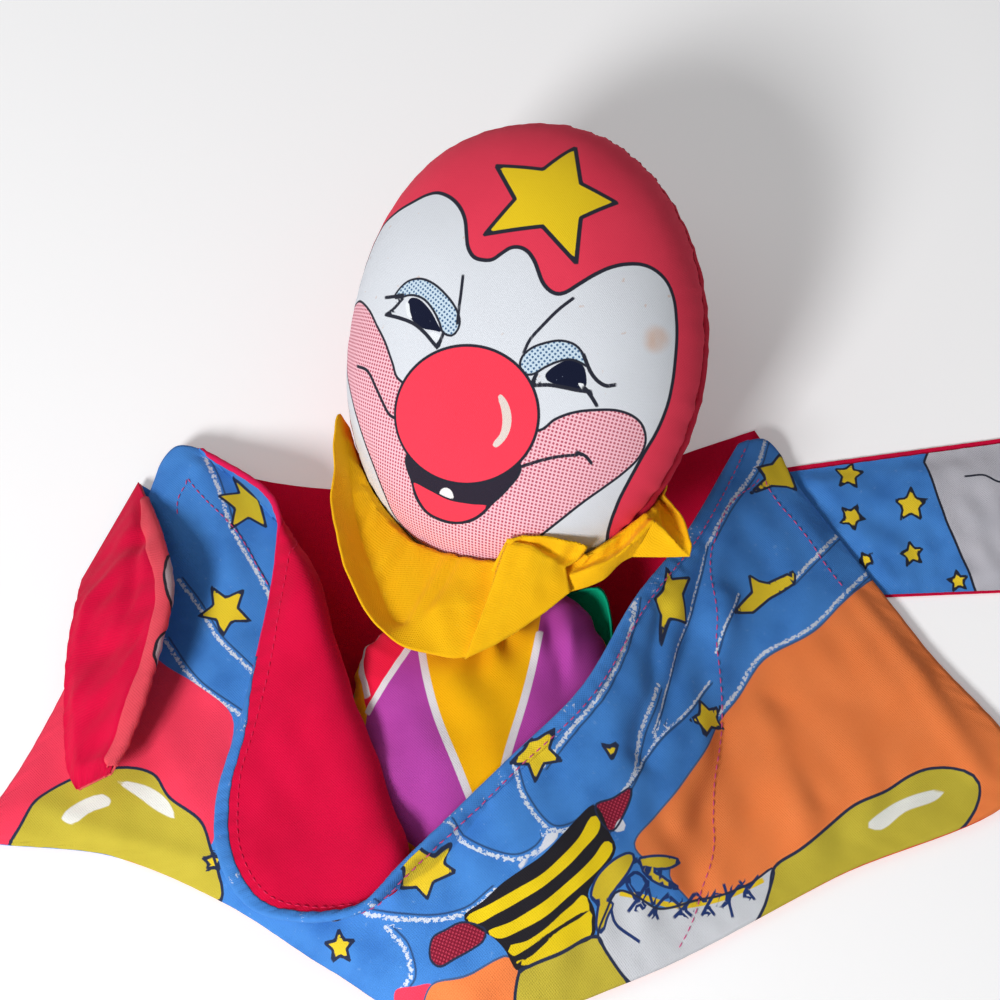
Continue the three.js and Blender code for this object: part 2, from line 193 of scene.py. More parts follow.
def rounded(points, steps=8):
    """A closed outline through given points, smoothed."""
    count = len(points) * steps
    flat = np.column_stack([np.asarray(points, float), np.zeros(len(points))])
    return loop_through(flat, np.arange(count) / count)[:, :2]


def inside_distance(places, outline):
    """Signed distance from each place to a closed outline."""
    a = np.asarray(outline, float)
    b = np.roll(a, -1, 0)
    flat = places.reshape(-1, 2)
    nearest = np.full(len(flat), 1e9)
    inside = np.zeros(len(flat), bool)
    for (ax, ay), (bx, by) in zip(a, b):
        dx, dy = bx - ax, by - ay
        wx, wy = flat[:, 0] - ax, flat[:, 1] - ay
        t = np.clip((wx * dx + wy * dy) / max(dx * dx + dy * dy, 1e-9), 0, 1)
        nearest = np.minimum(nearest, np.hypot(wx - t * dx, wy - t * dy))
        crosses = (ay > flat[:, 1]) != (by > flat[:, 1])
        with np.errstate(divide="ignore", invalid="ignore"):
            at = ax + (flat[:, 1] - ay) * dx / (dy if abs(dy) > 1e-12 else 1e-12)
        inside ^= crosses & (flat[:, 0] < at)
    return np.where(inside, -nearest, nearest).reshape(places.shape[:-1])


def line_distance(places, points):
    """Distance to an open smoothed line and the signed distance to its side, for a drawn stroke."""
    flat = places.reshape(-1, 2)
    raised = np.column_stack([np.asarray(points, float), np.zeros(len(points))])
    line = through(raised, np.linspace(0, 1, (len(points) - 1) * 6 + 1))[:, :2]
    nearest = np.full(len(flat), 1e9)
    side = np.zeros(len(flat))
    for (ax, ay), (bx, by) in zip(line[:-1], line[1:]):
        dx, dy = bx - ax, by - ay
        wx, wy = flat[:, 0] - ax, flat[:, 1] - ay
        length = math.hypot(dx, dy)
        t = np.clip((wx * dx + wy * dy) / max(length * length, 1e-9), 0, 1)
        gap = np.hypot(wx - t * dx, wy - t * dy)
        cross = (dx * wy - dy * wx) / max(length, 1e-9)
        closer = gap < nearest
        nearest = np.where(closer, gap, nearest)
        side = np.where(closer, cross, side)
    return nearest.reshape(places.shape[:-1]), side.reshape(places.shape[:-1])


def strokes(places, lines):
    """The nearest of several open lines: distance, and signed distance to its side."""
    best, best_side = line_distance(places, lines[0])
    for points in lines[1:]:
        gap, side = line_distance(places, points)
        closer = gap < best
        best, best_side = np.where(closer, gap, best), np.where(closer, side, best_side)
    return best, best_side


def store_strokes(piece, name, places, lines):
    """Keeps both distances to a set of drawn lines."""
    for part, values in zip(("gap", "side"), strokes(places, lines)):
        store(piece, f"{name}_{part}", values)


def nearest_of(places, outlines):
    """Signed distance to the nearest of several closed outlines."""
    return np.minimum.reduce([inside_distance(places, outline) for outline in outlines])


def star(centre, radius, turn, waist=0.45):
    """A five-pointed star's outline; turn is in degrees, with one tip up at 0."""
    angles = math.radians(90 + turn) + np.arange(10) * math.pi / 5
    reach = np.where(np.arange(10) % 2 == 0, radius, radius * waist)
    return np.stack([centre[0] + reach * np.cos(angles), centre[1] + reach * np.sin(angles)], 1)


class Placed:
    """Finds where a pixel of the photograph lands on a piece's flat cloth."""

    def __init__(self, grid, flat, shown=None):
        self.image = to_image(grid)
        self.flat = flat
        self.shown = np.ones(grid.shape[:2], bool) if shown is None else shown

    def at(self, *pixel):
        pixel = np.array(pixel, float)
        off = np.linalg.norm(self.image - pixel, axis=2)
        off[~self.shown] = 1e9
        i, j = np.unravel_index(np.argmin(off), off.shape)
        rows, columns = off.shape
        low_i, high_i = max(i - 1, 0), min(i + 1, rows - 1)
        low_j, high_j = max(j - 1, 0), min(j + 1, columns - 1)
        slope = np.stack([
            (self.image[high_i, j] - self.image[low_i, j]) / (high_i - low_i),
            (self.image[i, high_j] - self.image[i, low_j]) / (high_j - low_j)], 1)
        if abs(np.linalg.det(slope)) < 1e-6:
            return self.flat[i, j]
        step = np.clip(np.linalg.solve(slope, pixel - self.image[i, j]), -3, 3)
        along = (self.flat[high_i, j] - self.flat[low_i, j]) / (high_i - low_i)
        across = (self.flat[i, high_j] - self.flat[i, low_j]) / (high_j - low_j)
        return self.flat[i, j] + step[0] * along + step[1] * across

    def all(self, pixels):
        return np.array([self.at(*pixel) for pixel in pixels])


# Materials

def linear(red, green, blue):
    """A screen colour from 0 to 255 as the linear values a shader takes."""
    def channel(value):
        value /= 255
        return value / 12.92 if value <= 0.04045 else ((value + 0.055) / 1.055) ** 2.4
    return (channel(red), channel(green), channel(blue), 1.0)


class Nodes:
    """A node tree, with short ways to add to it and to join its sockets."""

    def __init__(self, owner):
        owner.use_nodes = True
        self.tree = owner.node_tree

    def add(self, kind, **settings):
        node = self.tree.nodes.new(kind)
        for key, value in settings.items():
            setattr(node, key, value)
        return node

    def join(self, value, socket):
        """Links one socket to another, or sets it to a value."""
        if isinstance(value, bpy.types.NodeSocket):
            self.tree.links.new(value, socket)
        else:
            socket.default_value = value

    def set(self, node, values):
        """Joins values to a node's sockets by their names."""
        for name, value in values.items():
            self.join(value, node.inputs[name])

    def math(self, operation, *values):
        node = self.add("ShaderNodeMath", operation=operation)
        for value, socket in zip(values, node.inputs):
            self.join(value, socket)
        return node.outputs[0]

    def halves(self, vector):
        """The first two parts of a vector."""
        split = self.add("ShaderNodeSeparateXYZ")
        self.join(vector, split.inputs[0])
        return split.outputs[:2]


class Dye(Nodes):
    """Builds one cloth's material: colours laid over each other, then its weave."""

    def __init__(self, name, roughness=0.9, sheen=0.03):
        self.material = bpy.data.materials.new(name)
        super().__init__(self.material)
        self.shader = self.tree.nodes["Principled BSDF"]
        self.set(self.shader, {"Roughness": roughness, "Sheen Weight": sheen, "Specular IOR Level": 0.14})
        self.sockets = {}

    def stored(self, name):
        if name not in self.sockets:
            self.sockets[name] = self.add("ShaderNodeAttribute", attribute_name=name).outputs["Fac"]
        return self.sockets[name]

    def step(self, value, low, high, out_low=0.0, out_high=1.0):
        """A soft step of value between low and high."""
        node = self.add("ShaderNodeMapRange", interpolation_type="SMOOTHSTEP")
        for item, socket in zip((value, low, high, out_low, out_high), node.inputs):
            self.join(item, socket)
        return node.outputs[0]

    def inside(self, distance, soft=0.12, grow=0.0):
        """1 inside a shape whose signed distance is given, in millimetres."""
        return self.step(distance, grow - soft, grow + soft, 1.0, 0.0)

    def ink(self, distance, half, soft=0.15):
        """1 along a shape's edge, as a printed line of that half width."""
        return self.inside(self.math("ABSOLUTE", distance), soft, half)

    def mix(self, under, over, amount):
        """One colour over another; each is a socket or a screen colour from 0 to 255."""
        node = self.add("ShaderNodeMix", data_type="RGBA")
        under, over = (linear(*c) if isinstance(c, tuple) else c for c in (under, over))
        self.set(node, {"Factor": amount, "A": under, "B": over})
        return node.outputs["Result"]

    def fields(self, under, *layers):
        """Printed fields over a colour: each is a stored shape, its colour and its soft edge."""
        for shape, over, *soft in layers:
            under = self.mix(under, over, self.inside(self.stored(shape), *soft))
        return under

    def largest(self, *values):
        result = values[0]
        for value in values[1:]:
            result = self.math("MAXIMUM", result, value)
        return result

    def outlines(self, *shapes):
        """1 on the printed edges of stored shapes; each has its half width."""
        return self.largest(*(self.ink(self.stored(name), half) for name, half in shapes))

    def stroke(self, name, half, reach=1.2):
        """1 on drawn lines of that half width, which end where the lines do."""
        near = self.inside(self.stored(name + "_gap"), 0.4, half + reach)
        return self.math("MULTIPLY", self.ink(self.stored(name + "_side"), half), near)

    def flat_places(self):
        if "flat" not in self.sockets:
            self.sockets["flat"] = self.add("ShaderNodeUVMap", uv_map="flat").outputs["UV"]
        return self.sockets["flat"]

    def noise(self, scale, detail, on_flat=True, rough=0.5):
        """Noise from 0 to 1; scale is its grain per 100 mm of cloth."""
        node = self.add("ShaderNodeTexNoise")
        if on_flat:
            self.set(node, {"Vector": self.flat_places(), "Scale": scale})
        else:
            places = self.add("ShaderNodeTexCoord").outputs["Object"]
            self.set(node, {"Vector": places, "Scale": scale * 10})
        self.set(node, {"Detail": detail, "Roughness": rough})
        return node.outputs["Fac"]

    def dots(self, pitch, turn, size):
        """A halftone screen: 1 in round dots set on a square mesh of that pitch in millimetres."""
        turned = self.add("ShaderNodeMapping")
        self.set(turned, {"Vector": self.flat_places(), "Rotation": (0, 0, math.radians(turn)),
                          "Scale": (100 / pitch, 100 / pitch, 1)})
        offsets = [self.math("SUBTRACT", self.math("FRACT", part), 0.5)
                   for part in self.halves(turned.outputs[0])]
        squares = [self.math("MULTIPLY", part, part) for part in offsets]
        reach = self.math("SQRT", self.math("ADD", squares[0], squares[1]))
        return self.step(reach, size - 0.1, size + 0.1, 1.0, 0.0)

    def finish(self, colour, weave, depth, mottle, extra_height=0.0):
        """Colour variation, the woven threads' relief and the final link to the shader. The weave is
        two threads' width and the depth its relief, in millimetres; mottle is a share of the colour."""
        waves = [self.math("SINE", self.math("MULTIPLY", part, 2 * math.pi * 100 / weave))
                 for part in self.halves(self.flat_places())]
        thread = self.math("MULTIPLY", *waves)
        grain = self.noise(160, 3)
        cloud = self.noise(3.5, 3)
        height = self.math("ADD", self.math("MULTIPLY", thread, 0.35), grain)
        height = self.math("ADD", height, extra_height)
        shade = 1.0
        for value, middle, amount in ((cloud, 0.5, 2 * mottle), (grain, 0.5, 0.12), (thread, 0.0, 0.03)):
            part = self.math("MULTIPLY", self.math("SUBTRACT", value, middle), amount)
            shade = self.math("ADD", part, shade)
        scaled = self.add("ShaderNodeVectorMath", operation="SCALE")
        self.join(colour, scaled.inputs[0])
        self.join(shade, scaled.inputs["Scale"])
        bump = self.add("ShaderNodeBump")
        self.set(bump, {"Strength": 1.0, "Distance": depth * MM, "Height": height})
        self.set(self.shader, {"Base Color": scaled.outputs[0], "Normal": bump.outputs[0]})
        return self.material


# Stage: soft light and a pale floor

def make_lamp(name, place, aim, size, power):
    data = bpy.data.lights.new(name, "AREA")
    data.shape = "SQUARE"
    data.size = size
    data.energy = power
    lamp = bpy.data.objects.new(name, data)
    lamp.location = place
    direction = [b - a for a, b in zip(place, aim)]
    flat_run = math.hypot(direction[0], direction[1])
    lamp.rotation_euler = (math.atan2(flat_run, -direction[2]), 0, math.atan2(-direction[0], direction[1]))
    bpy.context.scene.collection.objects.link(lamp)


def make_stage():
    scene = bpy.context.scene
    scene.view_settings.view_transform = "Standard"
    make_lamp("key_lamp", (-0.82, -1.05, 1.05), (0.02, 0.05, 0.03), 0.42, 25.0)
    make_lamp("fill_lamp", (-0.9, 0.3, 1.3), (0.05, 0.05, 0.03), 1.0, 2.4)
    scene.world = bpy.data.worlds.new("room")
    room = Nodes(scene.world)
    seen = room.add("ShaderNodeLightPath").outputs
    rays = room.math("MAXIMUM", seen["Is Camera Ray"], seen["Is Glossy Ray"])
    rays = room.math("MAXIMUM", rays, seen["Is Transmission Ray"])
    strength = room.add("ShaderNodeMapRange")
    room.set(strength, {"Value": rays, "To Min": 0.23, "To Max": 1.0})
    room.set(room.tree.nodes["Background"], {"Color": (1, 1, 1, 1), "Strength": strength.outputs[0]})

    half, floor_z = 3000, -0.2
    corners = [(x * half, y * half, floor_z) for x, y in ((-1, -1), (1, -1), (1, 1), (-1, 1))]
    paper = bpy.data.materials.new("pale_floor")
    page = Nodes(paper)
    glow = page.math("MULTIPLY", page.add("ShaderNodeLightPath").outputs["Is Camera Ray"], 0.18)
    page.set(page.tree.nodes["Principled BSDF"], {
        "Base Color": (0.94, 0.94, 0.95, 1), "Roughness": 0.9, "Specular IOR Level": 0.1,
        "Emission Color": (1, 1, 1, 1), "Emission Strength": glow})
    floor = make_piece("floor", corners, [(0, 1, 2, 3)], paper, smooth_shade=False)


# Stuffed head and torso: two panels each, sewn edge to edge

def wrinkle(run, seed, wavelength):
    """A wandering wave along a seam, about -1 to 1, the same for every run of the script."""
    rng = np.random.default_rng(seed)
    total = np.zeros_like(run)
    for share, scale in ((0.55, 1.0), (0.3, 1.9), (0.25, 0.53)):
        phase, drift = rng.uniform(0, 2 * math.pi, 2)
        wander = 1.4 * np.sin(2 * math.pi * run / (wavelength * 7.3) + drift)
        total = total + share * np.sin(2 * math.pi * run / (wavelength * scale) + phase + wander)
    return total


def slow_noise(places, seed, wavelength):
    """Smooth unevenness about -1 to 1 over points in millimetres."""
    rng = np.random.default_rng(seed)
    count = 10
    total = np.zeros(places.shape[:-1])
    for _ in range(count):
        direction = rng.normal(size=places.shape[-1])
        direction /= np.linalg.norm(direction)
        total += np.sin(places @ direction * 2 * math.pi / (wavelength * rng.uniform(0.7, 1.5))
                        + rng.uniform(0, 2 * math.pi))
    return total / math.sqrt(count) * 0.8


class Pillow:
    """A stuffed pillow's size, centre and axes: x across, y along and z out of its front."""
    POWER = 2.4

    def __init__(self, half_width, half_length, front, back, taper, squareness, centre, axes, full=(0, 0)):
        self.half_width, self.half_length = half_width, half_length
        self.full_heading, self.fullness = full
        self.front, self.back, self.taper, self.squareness = front, back, taper, squareness
        self.centre, self.axes = np.array(centre, float), np.array(axes, float)

    def skin(self, side, around, rings, inset=0.0, tuck=0.0):
        """Points in the pillow's own axes, from the middle of a side out to its seam."""
        angle = np.arange(around) * 2 * math.pi / around
        climb = np.linspace(0, 1, rings + 1) ** 0.97 * math.pi / 2
        angle, climb = np.meshgrid(angle, climb, indexing="ij")
        power = self.squareness
        corner = (np.abs(np.cos(angle)) ** power + np.abs(np.sin(angle)) ** power) ** (-1 / power)
        off_heading = np.angle(np.exp(1j * (angle - math.radians(self.full_heading))))
        fuller = 1 + self.fullness / self.half_length * np.exp(-(off_heading / math.radians(30)) ** 2)
        reach = corner * fuller * np.sin(climb) ** (2 / self.POWER)
        along = reach * np.sin(angle)
        across = reach * np.cos(angle) * (1 - self.taper * along)
        depth = (self.front if side > 0 else self.back) - inset
        tucked = tuck * smooth(climb, math.radians(84), math.radians(90))
        return np.stack([
            across * (self.half_width - inset - tucked),
            along * (self.half_length - inset - tucked),
            side * (GAP / 2 + depth * np.cos(climb))], -1)

    def placed(self, points):
        return self.centre + points @ self.axes

    @staticmethod
    def print_places(skin):
        """Where each point is on the flat cloth: direction and run from the panel's middle."""
        run = run_length(skin, 1)
        heading = np.arctan2(skin[..., 1], skin[..., 0])
        heading[:, 0] = heading[:, 1]
        return np.stack([run * np.cos(heading), run * np.sin(heading)], -1)


def head_pillow():
    raised, leaned, turned = (math.radians(a) for a in (22, 10, 16))
    level = np.array([math.cos(leaned), -math.sin(leaned), 0])
    along = np.array([
        math.sin(leaned) * math.cos(raised), math.cos(leaned) * math.cos(raised), math.sin(raised)])
    out = np.cross(level, along)
    front = out * math.cos(turned) - level * math.sin(turned)
    across = np.cross(along, front)
    centre = NECK + along * (86 + NECK_HALF + GAP)
    return Pillow(70, 86, 42, 38, 0.04, 2, centre, [across, along, front], full=(136, 5.6))


def torso_pillow():
    centre = [8, NECK[1] - NECK_HALF - 1.5 - 50, INSIDE_Z + GAP / 2 + 15.5]
    return Pillow(47, 50, 20, 15.5, -0.13, 3, centre, np.eye(3))


def weld(piece):
    """Joins points that share a place, so that a panel's middle is one point."""
    cloth = bmesh.new()
    cloth.from_mesh(piece.data)
    bmesh.ops.remove_doubles(cloth, verts=cloth.verts, dist=1e-6)
    cloth.to_mesh(piece.data)
    cloth.free()
    piece.data.update()


def thicken(piece, thickness, offset):
    """Gives a layer of cloth its thickness: inward of the shown side at -1, half each way at 0."""
    solid = piece.modifiers.new("cloth", "SOLIDIFY")
    solid.thickness = thickness * MM
    solid.offset = offset
    bpy.context.view_layer.objects.active = piece
    bpy.ops.object.select_all(action="DESELECT")
    piece.select_set(True)
    bpy.ops.object.modifier_apply(modifier=solid.name)


def lay_sheet(piece, body, nodes=(), thickness=CLOTH, offset=-1.0):
    """Thickens a cloth piece, hides the model's parts that it stands for and attaches it to the body it
    moves with.
    """
    thicken(piece, thickness, offset)
    if nodes:
        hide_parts(*nodes)
    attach(piece, body)


def pillow_panel(pillow, side, around, rings, seed, pucker=0.8, wavelength=9.0, reach=7.0, lumps=0.5):
    """One sewn panel's points and flat places, puckered along its seam."""
    skin = pillow.skin(side, around, rings, tuck=1.3)
    flat = Pillow.print_places(skin)
    normal = grid_normals(skin, ring=True)
    outward = np.where((normal * skin).sum(-1, keepdims=True) > 0, 1, -1)
    normal = normal * outward
    normal[:, 0] = (0, 0, side)
    run = np.linalg.norm(flat, axis=-1)
    off_seam = run[:, -1:] - run
    seam_steps = np.linalg.norm(np.roll(skin[:, -1], -1, 0) - skin[:, -1], axis=1)
    seam_run = np.concatenate([[0], np.cumsum(seam_steps)[:-1]])
    cycles = max(round(seam_steps.sum() / wavelength), 1)
    even = seam_run / seam_steps.sum() * cycles * wavelength
    wave = wrinkle(even, seed, wavelength)
    blend_in = smooth(even, 0, 12) * smooth(-even, -cycles * wavelength, -cycles * wavelength + 12)
    wave = wave * blend_in
    relief = pucker * wave[:, None] * np.exp(-off_seam / reach) * (0.35 + 0.65 * smooth(off_seam, 0, 2.5))
    relief = relief + lumps * slow_noise(skin, seed + 1, 48) * smooth(off_seam, 4, 22)
    skin = skin + normal * relief[..., None]
    skin[:, 0] = skin[:, 1:2].mean(0)
    return pillow.placed(skin), flat


# The printed face. Its lines are set out on a close view of the photograph, which starts at its
# pixel (330, 110) and is 3.2 times as large.

HOOD_EDGE = [
    (130, 455), (165, 380), (210, 330), (265, 295), (310, 272), (345, 265), (385, 280), (415, 310),
    (432, 350), (437, 400), (442, 440), (460, 470), (490, 480), (520, 478), (550, 458), (580, 440),
    (610, 440), (635, 455), (655, 485), (668, 520), (680, 550), (700, 575), (725, 588), (750, 585),
    (800, 555), (850, 525), (900, 503), (950, 493), (1000, 495), (1040, 512), (1075, 545),
    (1098, 595), (1108, 660), (1110, 730), (1105, 800), (1095, 880), (1075, 960), (1040, 1040),
    (1010, 1090), (960, 1180), (920, 1260), (890, 1350), (875, 1380)]
BROW_STAR = [
    (785, 120), (803, 235), (918, 297), (803, 345), (788, 490), (680, 372), (495, 398), (592, 285),
    (532, 178), (682, 190)]
NOSE = [(438 + 230 * math.cos(a), 975 + 222 * math.sin(a)) for a in np.arange(24) * math.pi / 12]
EYE_SPARKS = [(272, 650), (288, 640), (306, 664), (322, 676), (714, 838), (742, 852), (766, 842),
              (724, 862)]
LID_LINES = [
    [(180, 600), (205, 597), (232, 592)],
    [(180, 655), (230, 668), (270, 685), (305, 715), (330, 745), (345, 762)],
    [(184, 652), (206, 634), (232, 604)],
    [(345, 762), (352, 742), (362, 716)],
    [(645, 880), (652, 862), (660, 846)],
    [(812, 785), (835, 840), (860, 870), (885, 883), (910, 880)],
    [(643, 882), (700, 880), (750, 888), (800, 898), (830, 900)],
    [(815, 890), (835, 915), (852, 943)]]
BROW_LINES = [
    [(425, 535), (420, 580), (412, 640), (408, 680)],
    [(775, 605), (730, 640), (680, 690), (640, 735), (620, 775)],
    [(610, 1142), (680, 1120), (740, 1108), (805, 1103)],
    [(795, 1096), (818, 1108), (835, 1128)],
    [(88, 820), (120, 835), (150, 895), (190, 975), (205, 985)]]


FACE_OUTLINES = {
    "nose_shine": [
        [(545, 910), (565, 930), (580, 975), (577, 1020), (560, 1055), (530, 1080), (520, 1070),
         (545, 1035), (552, 990), (545, 945), (537, 920)]],
    "cheeks": [
        [(95, 612), (80, 625), (60, 680), (52, 750), (55, 840), (65, 900), (85, 980), (110, 1060),
         (140, 1140), (175, 1230), (215, 1310), (270, 1370), (340, 1415), (390, 1430), (470, 1446),
         (545, 1450), (610, 1420), (665, 1370), (740, 1310), (810, 1255), (880, 1205), (940, 1160),
         (990, 1110), (1010, 1060), (1000, 1010), (970, 980), (920, 962), (850, 960), (780, 968),
         (720, 990), (670, 1025), (560, 1000), (400, 940), (218, 860), (200, 810), (175, 740), (150, 690),
         (125, 640)]],
    "mouth": [
        [(243, 1115), (262, 1190), (275, 1240), (305, 1285), (350, 1312), (400, 1322), (450, 1315),
         (490, 1290), (515, 1262), (560, 1220), (610, 1145), (560, 1080), (438, 1020), (300, 1050)]],
    "tongue": [
        [(265, 1190), (320, 1215), (380, 1245), (450, 1258), (505, 1265), (480, 1295), (440, 1315),
         (400, 1320), (350, 1308), (310, 1285), (285, 1250), (270, 1215)]],
    "tooth": [
        [(350, 1232), (351, 1222), (360, 1211), (374, 1209), (388, 1218), (394, 1232), (396, 1246),
         (380, 1242)]],
    "lids": [
        [(205, 600), (220, 575), (250, 548), (290, 540), (330, 555), (370, 590), (400, 630), (415, 670),
         (410, 700), (390, 722), (362, 712), (350, 680), (330, 640), (300, 605), (260, 592), (225, 600)],
        [(608, 820), (615, 790), (645, 762), (690, 745), (740, 738), (785, 752), (812, 785), (822, 820),
         (805, 810), (770, 798), (730, 805), (690, 822), (650, 845), (625, 845)]],
    "irises": [
        [(258, 602), (285, 605), (320, 640), (345, 685), (357, 710), (330, 705), (300, 700), (270, 680),
         (250, 650), (248, 620)],
        [(690, 845), (730, 812), (775, 798), (810, 818), (820, 850), (818, 885), (790, 893), (750, 885),
         (705, 872), (690, 860)]],
    "glints": [
        [(244, 612), (252, 618), (256, 645), (262, 668), (252, 664), (243, 645)],
        [(314, 716), (330, 711), (350, 720), (355, 733), (336, 738), (318, 730)],
        [(794, 874), (812, 877), (815, 893), (802, 889)]],
    "stain": [
        [(1015, 715), (1040, 700), (1070, 712), (1080, 740), (1055, 765), (1020, 760)]]}


def print_face(panel, grid, flat, normal):
    """Stores every printed shape of the face on the panel, worked out on its flat cloth."""
    placed = Placed(grid, flat, faces_camera(grid, normal))

    def cloth(points):
        return placed.all([(330 + x / 3.2, 110 + y / 3.2) for x, y in points])

    edge = cloth(HOOD_EDGE)
    last = math.atan2(edge[-1][1], edge[-1][0])
    around = np.linspace(last, math.pi - last, 40)
    # An arc beyond the panel closes the shape; the hidden left end mirrors the right one, wider
    beyond = 170 * np.stack([np.cos(around), np.sin(around)], 1)
    mirrored = edge[33:][::-1] * (-1.13, 1)
    hood_line = np.vstack([mirrored, edge])
    hood_line = through(np.column_stack([hood_line, np.zeros(len(hood_line))]),
                        np.linspace(0, 1, 6 * len(hood_line)))[:, :2]
    store(panel, "hood", inside_distance(flat, np.vstack([hood_line, beyond])))
    store(panel, "brow_star", inside_distance(flat, cloth(BROW_STAR)))
    store(panel, "nose", inside_distance(flat, rounded(cloth(NOSE), 4)))
    for name, outlines in FACE_OUTLINES.items():
        store(panel, name, nearest_of(flat, [rounded(cloth(points)) for points in outlines]))
    sparks = cloth(EYE_SPARKS)
    store(panel, "sparks", np.minimum.reduce([np.linalg.norm(flat - s, axis=-1) for s in sparks]))
    for name, lines in (("lid_line", LID_LINES), ("brow_line", BROW_LINES)):
        store_strokes(panel, name, flat, [cloth(line) for line in lines])


def face_finish():
    dye = Dye("printed_face_cotton")
    ink, red = (38, 40, 52), (252, 64, 86)
    stained = dye.math("MULTIPLY", dye.step(dye.stored("stain"), -2.5, 3.0, 0.95, 0.0), dye.noise(14, 4))
    colour = dye.mix((222, 226, 233), (214, 160, 120), stained)
    specks = dye.step(dye.noise(26, 2), 0.70, 0.76, 0.0, 0.35)
    colour = dye.mix(colour, (205, 150, 110), specks)
    pink = dye.mix((250, 196, 208), (186, 84, 102), dye.dots(1.4, 8, 0.32))
    lid = dye.mix((204, 224, 238), (70, 104, 144), dye.dots(1.45, 30, 0.30))
    colour = dye.fields(
        colour, ("cheeks", pink), ("lids", lid), ("irises", (14, 20, 44)), ("glints", (236, 240, 244)),
        ("sparks", (150, 162, 186), 0.15, 0.32), ("mouth", (44, 38, 52)), ("tongue", red),
        ("tooth", (240, 240, 240)), ("hood", dye.mix((242, 66, 92), (228, 56, 82), dye.noise(5, 3))),
        ("brow_star", (242, 206, 34)))
    lines = dye.largest(
        dye.outlines(("hood", 0.75), ("brow_star", 0.8), ("cheeks", 0.5), ("mouth", 0.5), ("lids", 0.45),
                     ("tongue", 0.4)),
        dye.stroke("lid_line", 0.72, 0.28), dye.stroke("brow_line", 0.62, 0.38))
    colour = dye.mix(colour, ink, lines)
    colour = dye.fields(colour, ("nose", red), ("nose_shine", (228, 214, 206)))
    colour = dye.mix(colour, ink, dye.outlines(("nose", 0.55)))
    return dye.finish(colour, weave=0.9, depth=0.10, mottle=0.05)


def plain_cotton(name, colour, darker, roughness=0.9, weave=0.9, depth=0.12, mottle=0.08):
    """Plain dyed cotton, a little uneven in its dye."""
    dye = Dye(name, roughness)
    patches = dye.step(dye.noise(4, 3), 0.3, 0.8, 0.0, 0.6)
    return dye.finish(dye.mix(colour, darker, patches), weave, depth, mottle)


def make_head():
    """The head's two panels, and the stitches that show at the right of their seam."""
    pillow = head_pillow()
    around, rings = ((320, 80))
    grid, flat = pillow_panel(pillow, 1, around, rings, seed=11)
    normal = grid_normals(grid, ring=True)
    normal = normal * np.where((normal * (grid - pillow.centre)).sum(-1, keepdims=True) > 0, 1, -1)
    faces = grid_faces(around, rings + 1, ring=True, flip=True)
    face = make_piece("head_face_panel", grid, faces, face_finish(), flat)
    print_face(face, grid, flat, normal)
    row = rings - max(3, rings // 20)
    shown = np.arange(-around // 20, around * 11 // 40) % around
    stitch_line("head_seam_stitches", [(grid[shown, row] + normal[shown, row] * 0.05, normal[shown, row])],
                thread_finish("hood_thread", (176, 30, 52), (140, 18, 38)), "head",
                length=1.8, pitch=3.0, thread=0.22)
    weld(face)
    lay_sheet(face, "head",
              ["head_front"])

    around, rings = 200, 36
    grid, flat = pillow_panel(pillow, -1, around, rings, seed=12)
    faces = grid_faces(around, rings + 1, ring=True)
    back = make_piece("head_back_panel", grid, faces,
                      plain_cotton("red_hood_cotton", (214, 38, 66), (190, 26, 54)), flat)
    weld(back)
    lay_sheet(back, "head",
              ["head_back"])


# Costume. Stations run round its hem from the left shoulder to the right one. Each has its hem,
# the middle of its side wing, its lower belly, then the fold or foot of the mouth, and its rim.

ROLL = 5.0
STATIONS = [
    ((-124, 94), (-121.5, 102.5, 5), (-115, 109, 8.5), None, None, (-104, 106.5, 12)),
    ((-138, 52), (-124, 60, 9), (-104, 68, 14), "stand", (-75, 77, 17), (-72, 75, 30)),
    ((-151, 9), (-132, 18, 10), (-108, 30, 15), "fold", (-57, 47, 30), (-70, 53, 29)),
    ((-171, -34), (-147, -20, 9), (-116, -5, 13), "fold", (-43, 8, 33), (-79, -4, 24)),
    ((-182.5, -46), (-153, -41, 8), (-118, -32, 12), "fold", (-31, -26, 33), (-87, -40, 23)),
    ((-128, -54), (-115, -52, 7), (-98, -49, 11), "fold", (-23, -48, 34), (-84, -62, 25)),
    ((-84, -72), (-77, -67, 9), (-68, -62, 13), "fold", (-18, -61, 37), (-70, -80, 29)),
    ((-46, -95), (-42, -90, 12), (-37, -84, 17), "stand", (-22, -74, 36), (-36, -84, 44)),
    ((-4, -116), (-4, -109, 13), (-5, -98, 24), "stand", (-11, -68, 36), (-17, -67, 49)),
    ((60, -99), (54, -90, 15), (44, -76, 32), None, None, (16, -34, 50)),
    ((136, -62), (114, -54, 8), (92, -44, 16), None, None, (43, -7, 51)),
    ((208.5, -26), (166, -12, 8), (106, 6, 14), None, None, (63.5, 29.3, 45)),
    ((176, 27), (148, 36, 9), (116, 46, 15), None, None, (84, 60, 32)),
    ((128, 101), (126, 106.5, 6), (120, 112.5, 9), None, None, (109, 108, 13.5))]
NECKLINE = [
    (119, 121), (97, 113), (58, 99), (20, 95), (-20, 94), (-54, 94), (-86, 99), (-104, 106)]
SPANS = len(STATIONS) - 1
BELLY_SHARE = 0.62   # of the grid's columns; beyond them the left side's cloth turns out of sight
PRINT_SIDE = GAP / 2 + CLOTH
PRINT_INK = (40, 48, 74)
STAR_YELLOW = (238, 206, 48)
COSTUME_WEAVE = {"weave": 1.0, "depth": 0.16, "mottle": 0.10}


def mix(a, b, share):
    return a + (b - a) * share


